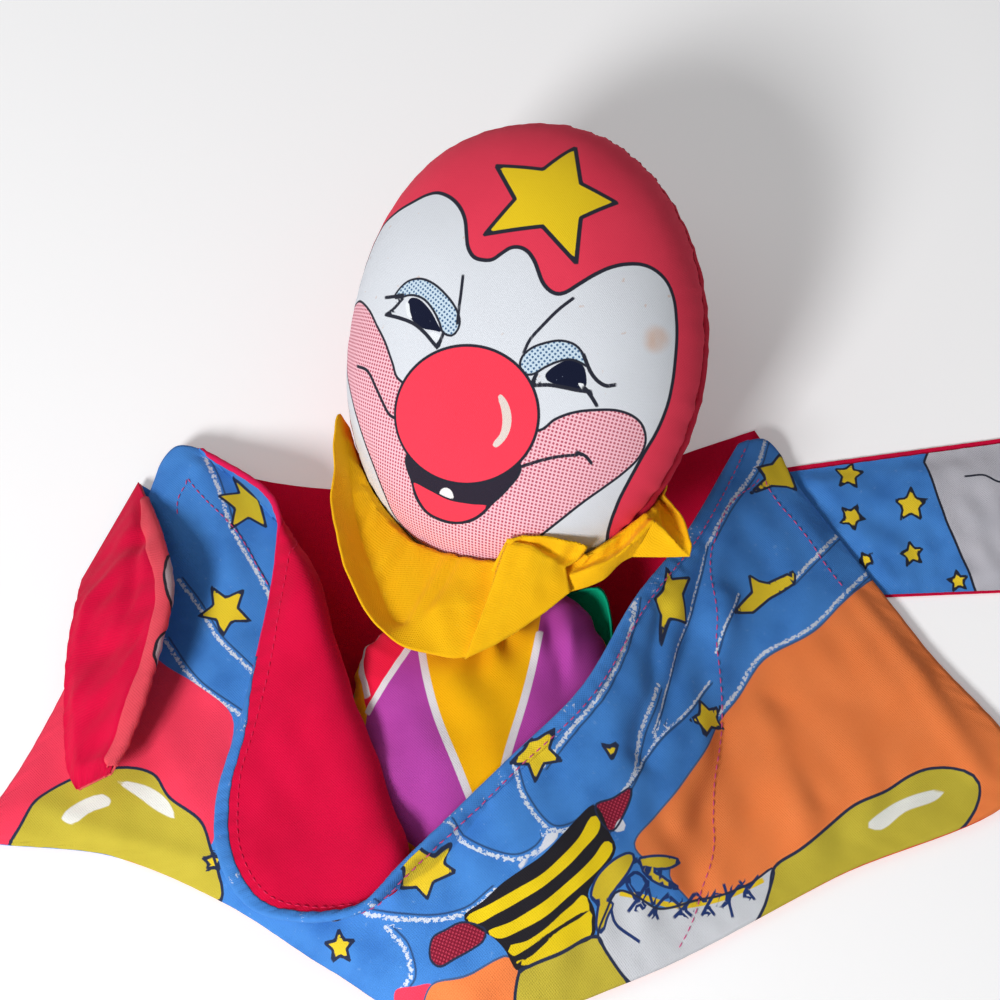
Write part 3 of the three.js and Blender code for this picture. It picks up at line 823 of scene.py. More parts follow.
def front_line(station):
    """The eight points of one station, from the hem up to the rim of the mouth."""
    hem = np.array([*station[0], FRONT_HEM_Z], float)
    wing, belly, rim = (np.array(station[k], float) for k in (1, 2, 5))
    if station[3] is None:
        return [hem, wing, belly, *(mix(belly, rim, k) for k in (0.86, 0.9, 0.94, 0.97)), rim]
    turn = np.array(station[4], float)
    if station[3] == "stand":
        return [hem, wing, belly, mix(turn, belly, 0.12), turn, mix(turn, rim, 0.3),
                mix(turn, rim, 0.65), rim]
    outward = np.array([rim[0] - turn[0], rim[1] - turn[1], 0])
    under = turn + outward / np.linalg.norm(outward) * ROLL
    over = under + (0, 0, ROLL)
    under = under - (0, 0, ROLL)
    flap = mix(over, rim, 0.5) + (0, 0, 1.5)
    return [hem, wing, belly, under, turn, over, flap, rim]


def front_grid(steps_round, steps_up):
    """The front's middle surface: rows round the hem, columns from hem to rim."""
    lines = [through(front_line(station), spread(steps_up)) for station in STATIONS]
    places = np.linspace(0, 1, steps_round * SPANS + 1)
    return np.stack([through([line[j] for line in lines], places)
                     for j in range(len(lines[0]))], 1)


def creased(relief, grid, plan, creases):
    """Soft ridges and dents added to a relief: each a line of pixels, its height and half width."""
    placed = Placed(grid, plan)
    for line, height, width in creases:
        gap, _ = line_distance(plan, placed.all(line))
        relief = relief + height * np.exp(-(gap / width) ** 2)
    return relief


# The print: stars, frayed white edges and scallops on blue, fields of salmon and orange,
# and the striped socks and round-toed shoes. All are set out as seen from the camera.

STARS = [
    # centre, size and turn, then its width as a share of its height
    ((248, 505), 30, 3, 1.0), ((226, 611), 27, 30, 1.0), ((706, 719), 20, 24, 0.9),
    ((536, 753), 30, -36, 0.9), ((341, 946), 17, 4, 0.9), ((214, 861), 11, 0, 1.0)]
STRETCHED_STARS = [
    [(664, 569), (671, 580), (688, 578), (681, 595), (684, 623), (669, 619), (660, 646), (660, 615),
     (653, 599), (662, 590)],
    [(755, 469), (771, 465), (781, 458), (787, 470), (792, 476), (796, 492), (786, 488), (771, 487),
     (748, 495), (766, 478)],
    [(748, 576), (758, 582), (767, 584), (780, 578), (795, 571), (794, 584), (782, 592), (769, 599),
     (752, 613), (732, 613), (742, 602), (751, 593)],
    [(601, 744), (609, 746), (617, 742), (615, 751), (611, 760), (606, 751)],
    [(407, 849), (422, 855.5), (431, 855.5), (450, 842), (445, 863.5), (457, 871), (433.5, 881.5),
     (428, 898), (416.5, 886.5), (401, 887), (413, 867)]]
COSTUME_OUTLINES = {
    "salmon": [
        [(60, 560), (120, 610), (161, 662), (196, 684), (233, 717), (228, 760), (216, 815), (212, 845),
         (170, 850), (110, 850), (40, 852), (-30, 850), (-40, 780), (20, 680)],
        [(396, 990), (415, 985), (434, 984), (428, 1012), (400, 1012)]],
    "orange": [
        [(876, 580), (847, 599), (812, 633), (763, 660), (737, 698), (721, 717), (704, 750), (680, 785),
         (655, 815), (636, 836), (633, 846), (641, 857), (668, 862), (668, 876), (680, 892), (705, 912),
         (775, 888), (835, 850), (900, 830), (985, 850), (1080, 840), (1100, 720), (980, 600), (930, 560)],
        [(432, 984), (471, 973), (499, 957), (508, 955), (518, 970), (523, 1010), (470, 1030),
         (425, 1010)]],
    "shoes": [
        [(10, 850), (20, 828), (37, 801), (74, 779), (122, 768), (155, 775), (170, 797), (200, 819),
         (212, 850), (222, 900), (150, 880), (60, 865)],
        [(773, 868), (799, 850), (827, 827), (855, 805), (886, 791), (910, 776), (930, 769), (964, 771),
         (978, 783), (978, 800), (960, 830), (900, 900), (800, 950), (736, 960), (753, 925), (768, 892)],
        [(519, 969), (526, 966), (547, 957), (570, 946), (592, 935), (598, 936), (604, 948), (621, 973),
         (640, 1000), (640, 1020), (520, 1030)]],
    "vamp": [
        [(617, 890), (633, 894), (657, 908), (688, 902), (720, 895), (750, 883), (773, 868), (768, 892),
         (753, 925), (736, 960), (680, 990), (640, 1000), (621, 973), (604, 948), (597, 934), (606, 908)]],
    "sock": [
        [(465, 920), (464, 915), (484, 900), (501, 884), (519, 871), (542, 855), (562, 834), (577, 818),
         (592, 805), (600, 812), (608, 832), (615, 848), (604, 869), (590, 885), (587, 895), (593, 907),
         (593, 935), (570, 947), (547, 958), (526, 966), (516, 969), (504, 948), (493, 937), (478, 928)]],
    "sock_yellow": [
        [(466.5, 917), (489, 904.5), (515, 889.5), (542, 873.5), (562, 855), (579, 836.5), (591.5, 816),
         (598, 818), (598.5, 830), (581, 851.5), (564, 869), (542, 887), (519, 901), (498.5, 912.5),
         (475.5, 924)],
        [(488, 931.5), (512.5, 920.5), (537.5, 905.5), (558, 889.5), (576.5, 873.5), (593, 856.5),
         (605, 841), (611.5, 844.5), (611, 852), (599.5, 867.5), (583.5, 882.5), (565, 898.5),
         (544.5, 916), (522.5, 928.5), (498.5, 938)],
        [(506.5, 946.5), (526, 940), (544.5, 927.5), (558, 915), (572, 903.5), (582.5, 894), (588.5, 904),
         (574.5, 915), (558, 925), (542, 936.5), (524, 949), (511.5, 954.5)],
        [(514, 960.5), (528.5, 956), (542, 944.5), (558, 929.5), (575.5, 919.5), (591, 909), (590.5, 920),
         (590, 934), (570, 944.5), (551.5, 954), (526, 964)]],
    "white_gaps": [
        [(547, 834), (559, 834), (551, 844), (540, 853), (528, 862), (519, 870), (519, 863), (532, 855),
         (541, 846)],
        [(613, 832), (620, 818), (625, 829)]],
    "hatched": [
        [(433, 938), (447, 929), (461, 922), (476, 924), (486, 930), (484, 940), (470, 950), (456, 958),
         (440, 966), (431, 958)],
        [(594, 806), (612, 798), (630, 788), (627, 806), (610, 832)]],
    "bows": [
        [(590, 895), (594, 880), (604, 867), (617, 857), (628, 853), (633, 856), (629, 868), (618, 884),
         (608, 896), (600, 899), (592, 900)],
        [(600, 899), (612, 903), (606, 916), (601, 931), (596, 928), (596, 914)],
        [(636, 860), (650, 856), (668, 857), (679, 861), (668, 868), (652, 868), (640, 865)],
        [(640, 868), (652, 871), (665, 879), (678, 888), (664, 886), (648, 878)]],
    "shines": [
        [(62, 818), (84, 800), (106, 795), (112, 804), (92, 812), (74, 824)],
        [(118, 782), (146, 786), (168, 800), (176, 818), (160, 812), (140, 798)],
        [(866, 826), (890, 806), (925, 792), (944, 790), (936, 800), (905, 812), (880, 830)]]}
COSTUME_LINES = {
    "frayed": [
        [(206, 462), (214, 478), (222, 500), (232, 530), (248, 558), (263, 584), (274, 610)],
        [(182, 584), (200, 608), (220, 640), (250, 670)],
        [(168, 644), (184, 668), (202, 688), (236, 712)],
        [(764, 442), (755, 468), (727, 507), (709, 540)],
        [(843, 538), (820, 552), (793, 580)],
        [(874, 573), (844, 595), (809, 629), (760, 656), (734, 694), (717, 714)],
        [(632, 600), (625, 640), (602, 690), (570, 730), (545, 762)],
        [(514, 769), (522, 795), (538, 819), (554, 831), (574, 827), (592, 812)],
        [(445, 817), (459, 838), (490, 854), (518, 859), (538, 850), (548, 838)],
        [(349, 897), (365, 912), (413, 919), (447, 918), (471, 910), (492, 893)],
        [(390, 930), (406, 949), (412, 973), (404, 986)],
        [(655, 690), (640, 730), (634, 770), (618, 800), (604, 832)]],
    "thin_frayed": [
        [(705, 545), (697, 580), (685, 623), (673, 655), (664, 690), (652, 730)],
        [(707, 684), (683, 715), (661, 735), (640, 764), (622, 790)],
        [(736, 597), (724, 625), (716, 650)],
        [(300, 600), (290, 640), (262, 668)]],
    "laces": [
        [(628, 888), (640, 905)],
        [(642, 889), (630, 907)],
        [(646, 884), (650, 900), (655, 914)],
        [(664, 896), (650, 912)],
        [(672, 899), (688, 913)],
        [(690, 898), (676, 914)],
        [(699, 897), (711, 911)],
        [(714, 893), (703, 911)],
        [(724, 888), (728, 902), (731, 913)],
        [(736, 888), (724, 903)],
        [(741, 884), (751, 896)],
        [(755, 879), (744, 893)],
        [(609, 904), (614, 922), (635, 938)],
        [(620, 884), (634, 872), (646, 880)]],
    "laces_under": [
        [(624, 893), (640, 896), (668, 904), (700, 903), (734, 893), (758, 882)]]}


def drawn_star(centre, size, turn, squeeze):
    """A printed star's outline in pixels of the photograph, turned clockwise."""
    outline = star((0, 0), size, 0, waist=0.46)
    outline[:, 0] *= squeeze
    c, s = math.cos(math.radians(turn)), math.sin(math.radians(turn))
    outline = outline @ np.array([[c, s], [-s, c]])
    return [(centre[0] + x, centre[1] - y) for x, y in outline]


def print_costume(cloth, grid, plan, shown):
    """Stores the print on the costume's front; returns its stars and frayed lines on flat cloth."""
    placed = Placed(grid, plan, shown)
    stars = [placed.all(outline) for outline in [drawn_star(*s) for s in STARS] + STRETCHED_STARS]
    store(cloth, "stars", nearest_of(plan, stars))
    for name, outlines in COSTUME_OUTLINES.items():
        store(cloth, name, nearest_of(plan, [rounded(placed.all(points), 5) for points in outlines]))
    for name, lines in COSTUME_LINES.items():
        store_strokes(cloth, name, plan, [placed.all(line) for line in lines])
    return stars, [placed.all(line) for line in COSTUME_LINES["frayed"]]


def frayed(dye, band, grain=80):
    """White threads showing along a band, thick in the middle and thin at its edges."""
    threads = dye.noise(grain, 3, rough=0.7)
    level = dye.step(band, 0.0, 1.0, 0.78, 0.44)
    return dye.math("MULTIPLY", dye.step(dye.math("SUBTRACT", threads, level), -0.02, 0.04),
                    dye.step(band, 0.05, 0.25))


def fray_over(dye, colour, *edges):
    """Frayed white edges, each a stored line with its dark line's place and its own half width."""
    bands = []
    for name, aside, reach in edges:
        gap, side = dye.stored(name + "_gap"), dye.stored(name + "_side")
        line = dye.ink(dye.math("SUBTRACT", side, aside), 0.3, 0.3)
        near = dye.inside(gap, 0.4, aside + 1.0)
        colour = dye.mix(colour, PRINT_INK, dye.math("MULTIPLY", dye.math("MULTIPLY", line, near), 0.8))
        across = dye.step(dye.math("ABSOLUTE", side), 0.0, reach, 1.0, 0.0)
        bands.append(dye.math("MULTIPLY", across, dye.inside(gap, 0.6, reach + 0.9)))
    return dye.mix(colour, (214, 222, 236), frayed(dye, dye.largest(*bands)))


def denim_blue(dye):
    """The print's blue ground, worn paler in small spots."""
    blue = dye.mix((72, 138, 216), (50, 108, 184), dye.step(dye.noise(7, 4), 0.35, 0.8, 0.0, 0.7))
    worn = dye.step(dye.noise(42, 3, rough=0.65), 0.62, 0.74, 0.0, 0.28)
    return dye.mix(blue, (150, 190, 232), worn)


def costume_finish():
    dye = Dye("printed_costume_cotton")
    colour = fray_over(dye, denim_blue(dye), ("frayed", 1.7, 1.9), ("thin_frayed", 0.9, 1.1))
    hatch = dye.mix((128, 24, 48), (190, 60, 84), dye.dots(1.1, 20, 0.3))
    salmon = dye.mix((255, 68, 98), (246, 58, 88), dye.noise(6, 3))
    orange = dye.mix((255, 142, 80), (244, 128, 66), dye.noise(7, 4))
    mustard = dye.mix((208, 190, 66), (190, 172, 54), dye.noise(6, 3))
    sock = dye.fields((34, 32, 38), ("sock_yellow", (240, 208, 26)))
    navy = (34, 56, 112)
    colour = dye.fields(colour, ("hatched", hatch), ("white_gaps", (222, 224, 234), 0.2),
                        ("salmon", salmon, 0.2), ("orange", orange, 0.2))
    colour = dye.mix(colour, (70, 96, 140), dye.outlines(("orange", 0.3)))
    colour = dye.fields(colour, ("shoes", mustard, 0.2), ("shines", (240, 240, 232), 0.3),
                        ("vamp", (214, 216, 222)), ("sock", sock))
    colour = dye.mix(colour, (238, 204, 40), dye.stroke("laces_under", 0.9))
    colour = dye.mix(colour, navy, dye.stroke("laces", 0.55))
    colour = dye.fields(colour, ("bows", (222, 194, 50)))
    colour = dye.mix(colour, navy, dye.outlines(("bows", 0.45)))
    colour = dye.fields(colour, ("stars", STAR_YELLOW))
    lines = dye.outlines(("stars", 0.5), ("shoes", 0.55), ("vamp", 0.4), ("hatched", 0.35))
    return dye.finish(dye.mix(colour, PRINT_INK, lines), **COSTUME_WEAVE)


CRIMSON = ((224, 6, 64), (204, 0, 52))
COSTUME_CREASES = [
    ([(858, 598), (900, 655), (940, 715), (975, 772)], 2.2, 5.0),
    ([(768, 726), (790, 780), (812, 860)], 1.8, 7.0),
    ([(700, 640), (716, 720), (706, 800), (690, 880)], -1.6, 6.0),
    ([(640, 700), (600, 780), (560, 840)], 1.2, 9.0),
    ([(706, 545), (694, 610), (672, 690), (646, 760)], -2.5, 3.8),
    ([(722, 600), (714, 680), (700, 760), (676, 820)], 2.0, 5.0),
    ([(660, 610), (652, 680), (632, 750)], -2.2, 3.6),
    ([(775, 700), (794, 752), (818, 800)], -1.5, 4.0),
    ([(852, 720), (874, 786), (862, 830)], 1.3, 5.0),
    ([(470, 860), (540, 800), (610, 740)], 1.0, 7.0),
    ([(830, 640), (870, 720), (890, 790)], -1.3, 8.0),
    ([(200, 470), (230, 540), (236, 600), (216, 690)], 1.8, 7.0),
    ([(140, 700), (170, 740), (200, 800)], 1.4, 7.0),
    ([(40, 806), (120, 838), (200, 862)], 1.0, 4.0),
    ([(300, 930), (400, 960), (470, 990)], 1.2, 6.0)]


def make_costume_front():
    grid = front_grid(32, [12, 12, 34, 9, 9, 14, 10])
    rows, columns = grid.shape[:2]
    plan = grid[..., :2].copy()
    normal = grid_normals(grid)
    to_rim = run_length(grid[:, ::-1], 1)[:, ::-1]
    to_hem = run_length(grid, 1)
    relief = 0.9 * slow_noise(plan, 31, 46) + 0.35 * slow_noise(plan, 32, 17)
    relief = creased(relief, grid, plan, COSTUME_CREASES)
    relief = relief * smooth(to_rim, 1, 16) * smooth(to_hem, 1, 22)
    hem_run = run_length(grid[:, :1], 0)[:, 0]
    rim_run = run_length(grid[:, -1:], 0)[:, 0]
    relief += (0.35 * wrinkle(rim_run, 41, 8)[:, None] * np.exp(-((to_rim - 5) / 4) ** 2)
               + 0.35 * wrinkle(hem_run, 42, 9)[:, None] * np.exp(-((to_hem - 6) / 4) ** 2))
    grid = grid + normal * relief[..., None]
    normal = grid_normals(grid)
    shown = faces_camera(grid, normal)
    shown[:, math.ceil(columns * BELLY_SHARE):] &= np.arange(rows)[:, None] > rows * 8.2 / SPANS

    faces = grid_faces(rows, columns)
    outer = make_piece("costume_front_print", grid + normal * PRINT_SIDE, faces, costume_finish(), plan)
    stars, frays = print_costume(outer, grid, plan, shown)
    lay_sheet(outer, "costume", ["front_outer"])

    inside = plain_cotton("crimson_lining_cotton", *CRIMSON, weave=1.0, depth=0.14, mottle=0.07)
    lining = make_piece("costume_front_lining", grid - normal * PRINT_SIDE, faces[:, ::-1], inside, plan)
    lay_sheet(lining, "costume", ["front_lining"])
    return grid, normal, inside, stars, frays


class Cloth:
    """A grid of cloth with its normals, read at any row, distance in from its rim, and offset."""

    def __init__(self, grid, normal):
        self.grid, self.normal = grid, normal
        self.in_from_rim = run_length(grid[:, ::-1], 1)[:, ::-1]

    def column_at(self, row, inward):
        line = self.in_from_rim[row]
        return np.interp(inward, line[::-1], np.arange(len(line))[::-1])

    def point(self, row, column, offset):
        """Places at fractional rows and columns, raised off the cloth by offset."""
        row = np.clip(row, 0, self.grid.shape[0] - 1.001)
        column = np.clip(column, 0, self.grid.shape[1] - 1.001)
        i, j = np.floor(row).astype(int), np.floor(column).astype(int)
        a, b = (row - i)[..., None], (column - j)[..., None]

        def read(field):
            return ((field[i, j] * (1 - a) + field[i + 1, j] * a) * (1 - b)
                    + (field[i, j + 1] * (1 - a) + field[i + 1, j + 1] * a) * b)
        normal = read(self.normal)
        normal = normal / np.linalg.norm(normal, axis=-1, keepdims=True)
        return read(self.grid) + normal * np.asarray(offset)[..., None], normal

    def along_rim(self, rows, inward, offset):
        columns = np.array([self.column_at(int(round(r)), s) for r, s in zip(rows, inward)])
        return self.point(np.asarray(rows, float), columns, np.asarray(offset, float))

    def along_pixels(self, pixels, offset, shown):
        """A line drawn on the cloth through pixels of the photograph."""
        image = to_image(self.grid)
        found = []
        for pixel in pixels:
            off = np.linalg.norm(image - np.array(pixel, float), axis=2)
            off[~shown] = 1e9
            found.append([*np.unravel_index(np.argmin(off), off.shape), 0.0])
        line = through(found, np.linspace(0, 1, 40 * (len(found) - 1)))
        return self.point(line[:, 0], line[:, 1], np.full(len(line), offset))


def stitch_line(name, lines, finish, body, length=2.3, pitch=3.3, thread=0.26):
    """Rows of short rounded stitches lying on the cloth along each line."""
    sides = 6
    round_it = np.arange(sides) * 2 * math.pi / sides
    profile = ((0.0, 0.15), (0.18, 0.8), (0.5, 1.0), (0.82, 0.8), (1.0, 0.15))
    points, faces, flat = [], [], []
    for line, normals in lines:
        steps = np.linalg.norm(np.diff(line, axis=0), axis=1)
        run = np.concatenate([[0], np.cumsum(steps)])
        for start in np.arange(0.8, run[-1] - length, pitch):
            ends = [np.array([np.interp(s, run, line[:, k]) for k in range(3)])
                    for s in (start, start + length)]
            up = np.array([np.interp(start + length / 2, run, normals[:, k]) for k in range(3)])
            along = ends[1] - ends[0]
            side = np.cross(along, up)
            side /= max(np.linalg.norm(side), 1e-9)
            first = len(points)
            for share, width in profile:
                centre = mix(ends[0], ends[1], share) + up * thread * (0.9 - 1.2 * abs(share - 0.5))
                for angle in round_it:
                    out = math.cos(angle) * side + math.sin(angle) * up
                    points.append(centre + thread * width * out)
                    flat.append((start + share * length, angle))
            for k in range(len(profile) - 1):
                for m in range(sides):
                    n = (m + 1) % sides
                    faces.append([first + k * sides + m, first + k * sides + n,
                                  first + (k + 1) * sides + n, first + (k + 1) * sides + m])
            faces.append([first + m for m in range(sides)][::-1])
            faces.append([first + (len(profile) - 1) * sides + m for m in range(sides)])
    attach(make_piece(name, points, faces, finish, flat), body)


def section_runs(section):
    """How far round a cut section each of its points lies, in millimetres."""
    return np.concatenate([[0], np.cumsum(np.linalg.norm(np.diff(section, axis=0), axis=1))])


def unfolded(run, section):
    """Flat places of a strip: its run along the rim and round its section."""
    return np.stack(np.meshgrid(run, section_runs(section), indexing="ij"), -1)


def thread_finish(name, colour, darker):
    return plain_cotton(name, colour, darker, roughness=0.7, weave=0.6, depth=0.05)


def rolled_edge(cloth, rows, section, pull, lift, inner_lift, bulge):
    """A strip rolled over the cloth's rim. Its section's points lie inward of the rim and off the
    cloth's middle; those beyond the rim go straight on from the cloth."""
    inner_row = np.full(len(rows), 1.5)
    lines = []
    for (inward, offset), raised, under in zip(section, lift, inner_lift):
        places, _ = cloth.along_rim(rows, np.maximum(inward, 0) * pull, raised)
        if inward < 0:
            outward = places - cloth.along_rim(rows, inner_row, under)[0]
            outward /= np.linalg.norm(outward, axis=1, keepdims=True)
            places = places - outward * (inward * bulge)[:, None]
        lines.append(places)
    return np.stack(lines, 1)


def make_mouth_hem(front, normal, stars, frays):
    """The rolled blue hem of the pocket's mouth, and the pink stitches along it."""
    cloth = Cloth(front, normal)
    per_station = (front.shape[0] - 1) / SPANS
    rows = np.arange(int(2.7 * per_station), front.shape[0])
    section = [(5.2, 0.95), (4.7, 1.3), (3.6, 1.5), (2.2, 1.6), (0.9, 1.5), (0.0, 1.25), (-0.6, 0.7),
               (-0.8, 0.0), (-0.6, -0.7), (0.0, -1.25), (0.9, -1.5), (2.2, -1.6), (3.6, -1.5),
               (4.7, -1.3), (5.2, -0.95)]
    offsets = np.array(section)[:, 1:]
    start = smooth(np.arange(len(rows)) / per_station, 0, 0.8)
    pulls = 0.12 * wrinkle(np.arange(len(rows)) * 1.3, 51, 5)
    lift = offsets * (0.86 + 0.14 * start) + np.sign(offsets) * pulls * (abs(offsets) > 1.2)
    rim_run = run_length(front[:, -1:], 0)[:, 0]
    grid = rolled_edge(cloth, rows, section, 0.16 + 0.84 * start, lift, lift, np.ones(len(rows)))
    hem = make_piece("mouth_hem", grid, grid_faces(*grid.shape[:2]), hem_finish(),
                     unfolded(rim_run[rows], section))
    level = np.zeros(len(rows))
    plan = np.stack([cloth.along_rim(rows, level + inward, level)[0][:, :2] for inward, _ in section], 1)
    outside = offsets[:, 0] > 0
    store(hem, "stars", np.where(outside, nearest_of(plan, stars), 9.0))
    gap, side = strokes(plan, frays)
    store(hem, "frayed_gap", np.where(outside, gap, 9.0))
    store(hem, "frayed_side", side)
    lay_sheet(hem, "costume",
              thickness=0.35)

    def rim_line(first, last, inward, offset):
        along = np.arange(first, last)
        return cloth.along_rim(along, np.full(len(along), inward), np.full(len(along), offset))

    pink = thread_finish("pink_thread", (214, 84, 140), (184, 58, 112))
    over = rim_line(int(6.2 * per_station), front.shape[0] - 2, 3.9, 1.6)
    stitch_line("mouth_topstitch", [over], pink, "costume")
    under = rim_line(int(1.2 * per_station), int(7.3 * per_station), 8.6, -PRINT_SIDE - 0.05)
    stitch_line("lining_topstitch", [(under[0], -under[1])],
                thread_finish("crimson_thread", (236, 40, 92), (206, 14, 66)), "costume")
    make_lining_edge(cloth, per_station, rim_run)
    return pink


def make_lining_edge(cloth, per_station, rim_run):
    """The thin crimson edge of the lining that shows along the upper left of the mouth."""
    rows = np.arange(0, int(3.3 * per_station))
    fade = 1 - smooth(rows / per_station, 2.6, 3.3) * 0.8
    section = [(2.3, 0.95), (1.6, 1.2), (0.7, 1.25), (0.0, 1.1), (-0.55, 0.7), (-0.75, 0.0), (-0.55, -0.7),
               (0.0, -1.0), (0.8, -1.05)]
    offsets = np.array(section)[:, 1:]
    grid = rolled_edge(cloth, rows, section, fade, offsets * (0.8 + 0.2 * fade),
                       offsets * np.ones(len(rows)), fade)
    edge = make_piece("lining_edge", grid, grid_faces(*grid.shape[:2]),
                      plain_cotton("lining_edge_cotton", (232, 24, 88), (206, 10, 70), weave=0.9),
                      unfolded(rim_run[rows], section))
    lay_sheet(edge, "costume",
              thickness=0.3)


def starred(dye, colour, ink=PRINT_INK, half=0.5):
    """Yellow stars with a dark outline over a colour."""
    colour = dye.fields(colour, ("stars", STAR_YELLOW))
    return dye.mix(colour, ink, dye.outlines(("stars", half)))


def hem_finish():
    dye = Dye("blue_hem_cotton")
    band = dye.step(dye.noise(9, 2), 0.45, 0.6)
    colour = dye.mix(denim_blue(dye), (206, 216, 232), frayed(dye, dye.math("MULTIPLY", band, 0.5), 60))
    colour = starred(dye, fray_over(dye, colour, ("frayed", 1.7, 1.9)))
    return dye.finish(colour, weave=1.0, depth=0.16, mottle=0.12)


SEAM_STITCHES = [
    [(759, 478), (725, 511), (717, 630), (719, 718), (713, 783), (702, 890), (677, 950)],
    [(763, 482), (797, 526), (847, 595)],
    [(188, 478), (232, 528), (262, 576), (272, 592)]]
EDGE_STITCHES = [[(188, 478), (181, 498), (177, 518)]]


def make_costume_stitches(front, normal, pink):
    """The pink stitches that run down the front's seams and along its left edge."""
    cloth = Cloth(front, normal)
    rows, columns = front.shape[:2]
    shown = faces_camera(front, normal)
    shown[:, int(columns * BELLY_SHARE):] &= np.arange(rows)[:, None] > rows * 0.63
    lines = [cloth.along_pixels(line, PRINT_SIDE + 0.1, shown) for line in SEAM_STITCHES + EDGE_STITCHES]
    stitch_line("front_seam_stitches", lines, pink, "costume")


# Back of the costume: printed outside, crimson lining inside

def costume_outline():
    """The back's edge: round the hem from shoulder to shoulder, then along the neckline."""
    steps = 14
    hem = through([(*s[0], 0) for s in STATIONS], np.linspace(0, 1, steps * SPANS + 1))
    top = through([(*p, 0) for p in NECKLINE], np.linspace(0, 1, steps * (len(NECKLINE) - 1) + 1))
    return np.vstack([hem, top[1:-1]])


def back_finish():
    dye = Dye("printed_back_cotton")
    colour = dye.fields(denim_blue(dye), ("low_field", (240, 130, 56), 0.3))
    edge = dye.step(dye.math("ABSOLUTE", dye.stored("low_field")), 0.0, 1.8, 1.0, 0.0)
    colour = starred(dye, dye.mix(colour, (226, 224, 226), frayed(dye, edge, 70)))
    return dye.finish(colour, **COSTUME_WEAVE)


def make_costume_back(inside):
    """Two flat layers, as spokes from the middle out to the hem, rippled at their edge."""
    outline = costume_outline()
    centre = np.array([12.0, 10.0, 0.0])
    shares = np.concatenate([[0.001], np.linspace(0.04, 0.94, 40), [0.955, 0.97, 0.985, 0.994, 1.0]])
    spokes = centre + (outline[:, None] - centre) * shares[None, :, None]
    plan = spokes[..., :2]
    rim_gap = np.linalg.norm(outline[:, None] - spokes, axis=2)
    hem_run = run_length(outline[:, None], 0)[:, 0]
    ripple = 0.12 * wrinkle(hem_run, 61, 9)[:, None] * np.exp(-rim_gap / 9)
    faces = grid_faces(len(outline), len(shares), ring=True)
    for name, finish, slot, node, rests_on in (
            ("costume_back_print", back_finish(), "costume_print", "back_outer", []),
            ("costume_back_lining", inside, "crimson_lining", "back_lining", ["costume_back_print"])):
        low_side = not rests_on
        grid = spokes.copy()
        grid[..., 2] = ripple * 0.5 + 0.06 if low_side else 1.0 + CLOTH + ripple
        piece = make_piece(name, grid, faces if low_side else faces[:, ::-1], finish, plan)
        if low_side:
            centres = [(x + 14 * (k % 2), y) for k, y in enumerate((74, 44, 14, -16))
                       for x in (-96, -54, -12, 34, 80, 120)]
            store(piece, "stars", nearest_of(plan, [star(c, 8.5, 17 * k, waist=0.46)
                                                    for k, c in enumerate(centres)]))
            wave = -34 + 7 * np.sin(plan[..., 0] / 17) + 0.12 * plan[..., 0]
            store(piece, "low_field", plan[..., 1] - wave)
        weld(piece)
        lay_sheet(piece, "costume", [node], CLOTH - 0.08)


# Torso

TORSO_RED = [(340, 540), (352, 600), (362, 650), (374, 724), (392, 684), (412, 645), (424, 600),
             (410, 545)]
TORSO_PURPLE = [(415, 640), (392, 672), (368, 710), (368, 780), (420, 850), (486, 840), (462, 780),
                (437, 716), (427, 680), (421, 645)]
TORSO_RIGHT = [(556, 560), (545, 600), (536, 645), (524, 700), (506, 760), (496, 820), (560, 830),
               (640, 760), (670, 640), (640, 560)]
TORSO_WHITE = [
    [(350, 540), (353, 600), (360, 650), (366, 690)],
    [(420, 632), (392, 672), (371, 706)],
    [(419, 632), (427, 680), (437, 716), (463, 780), (488, 842)],
    [(538, 640), (524, 700), (506, 760), (496, 820)]]


def torso_finish():
    dye = Dye("printed_torso_cotton")
    yellow = dye.mix((255, 190, 6), (250, 176, 4), dye.noise(6, 3))
    purple = dye.mix((190, 76, 174), (176, 62, 162), dye.noise(8, 3))
    colour = dye.fields(yellow, ("red_field", (248, 26, 68)), ("purple_field", purple))
    for k in range(len(TORSO_WHITE)):
        colour = dye.mix(colour, (232, 226, 232), dye.stroke(f"white_{k}", 1.4, 2.0))
    return dye.finish(colour, weave=1.0, depth=0.18, mottle=0.06)


def raised_shoulder(grid, aside, upward, lift):
    """The torso's right shoulder, pushed up where the ruff bunches it."""
    share = np.exp(-((grid[..., 0] - 40) / 15) ** 2) * smooth(grid[..., 1], -6, 30)
    return grid + share[..., None] * np.array([aside, upward, lift])


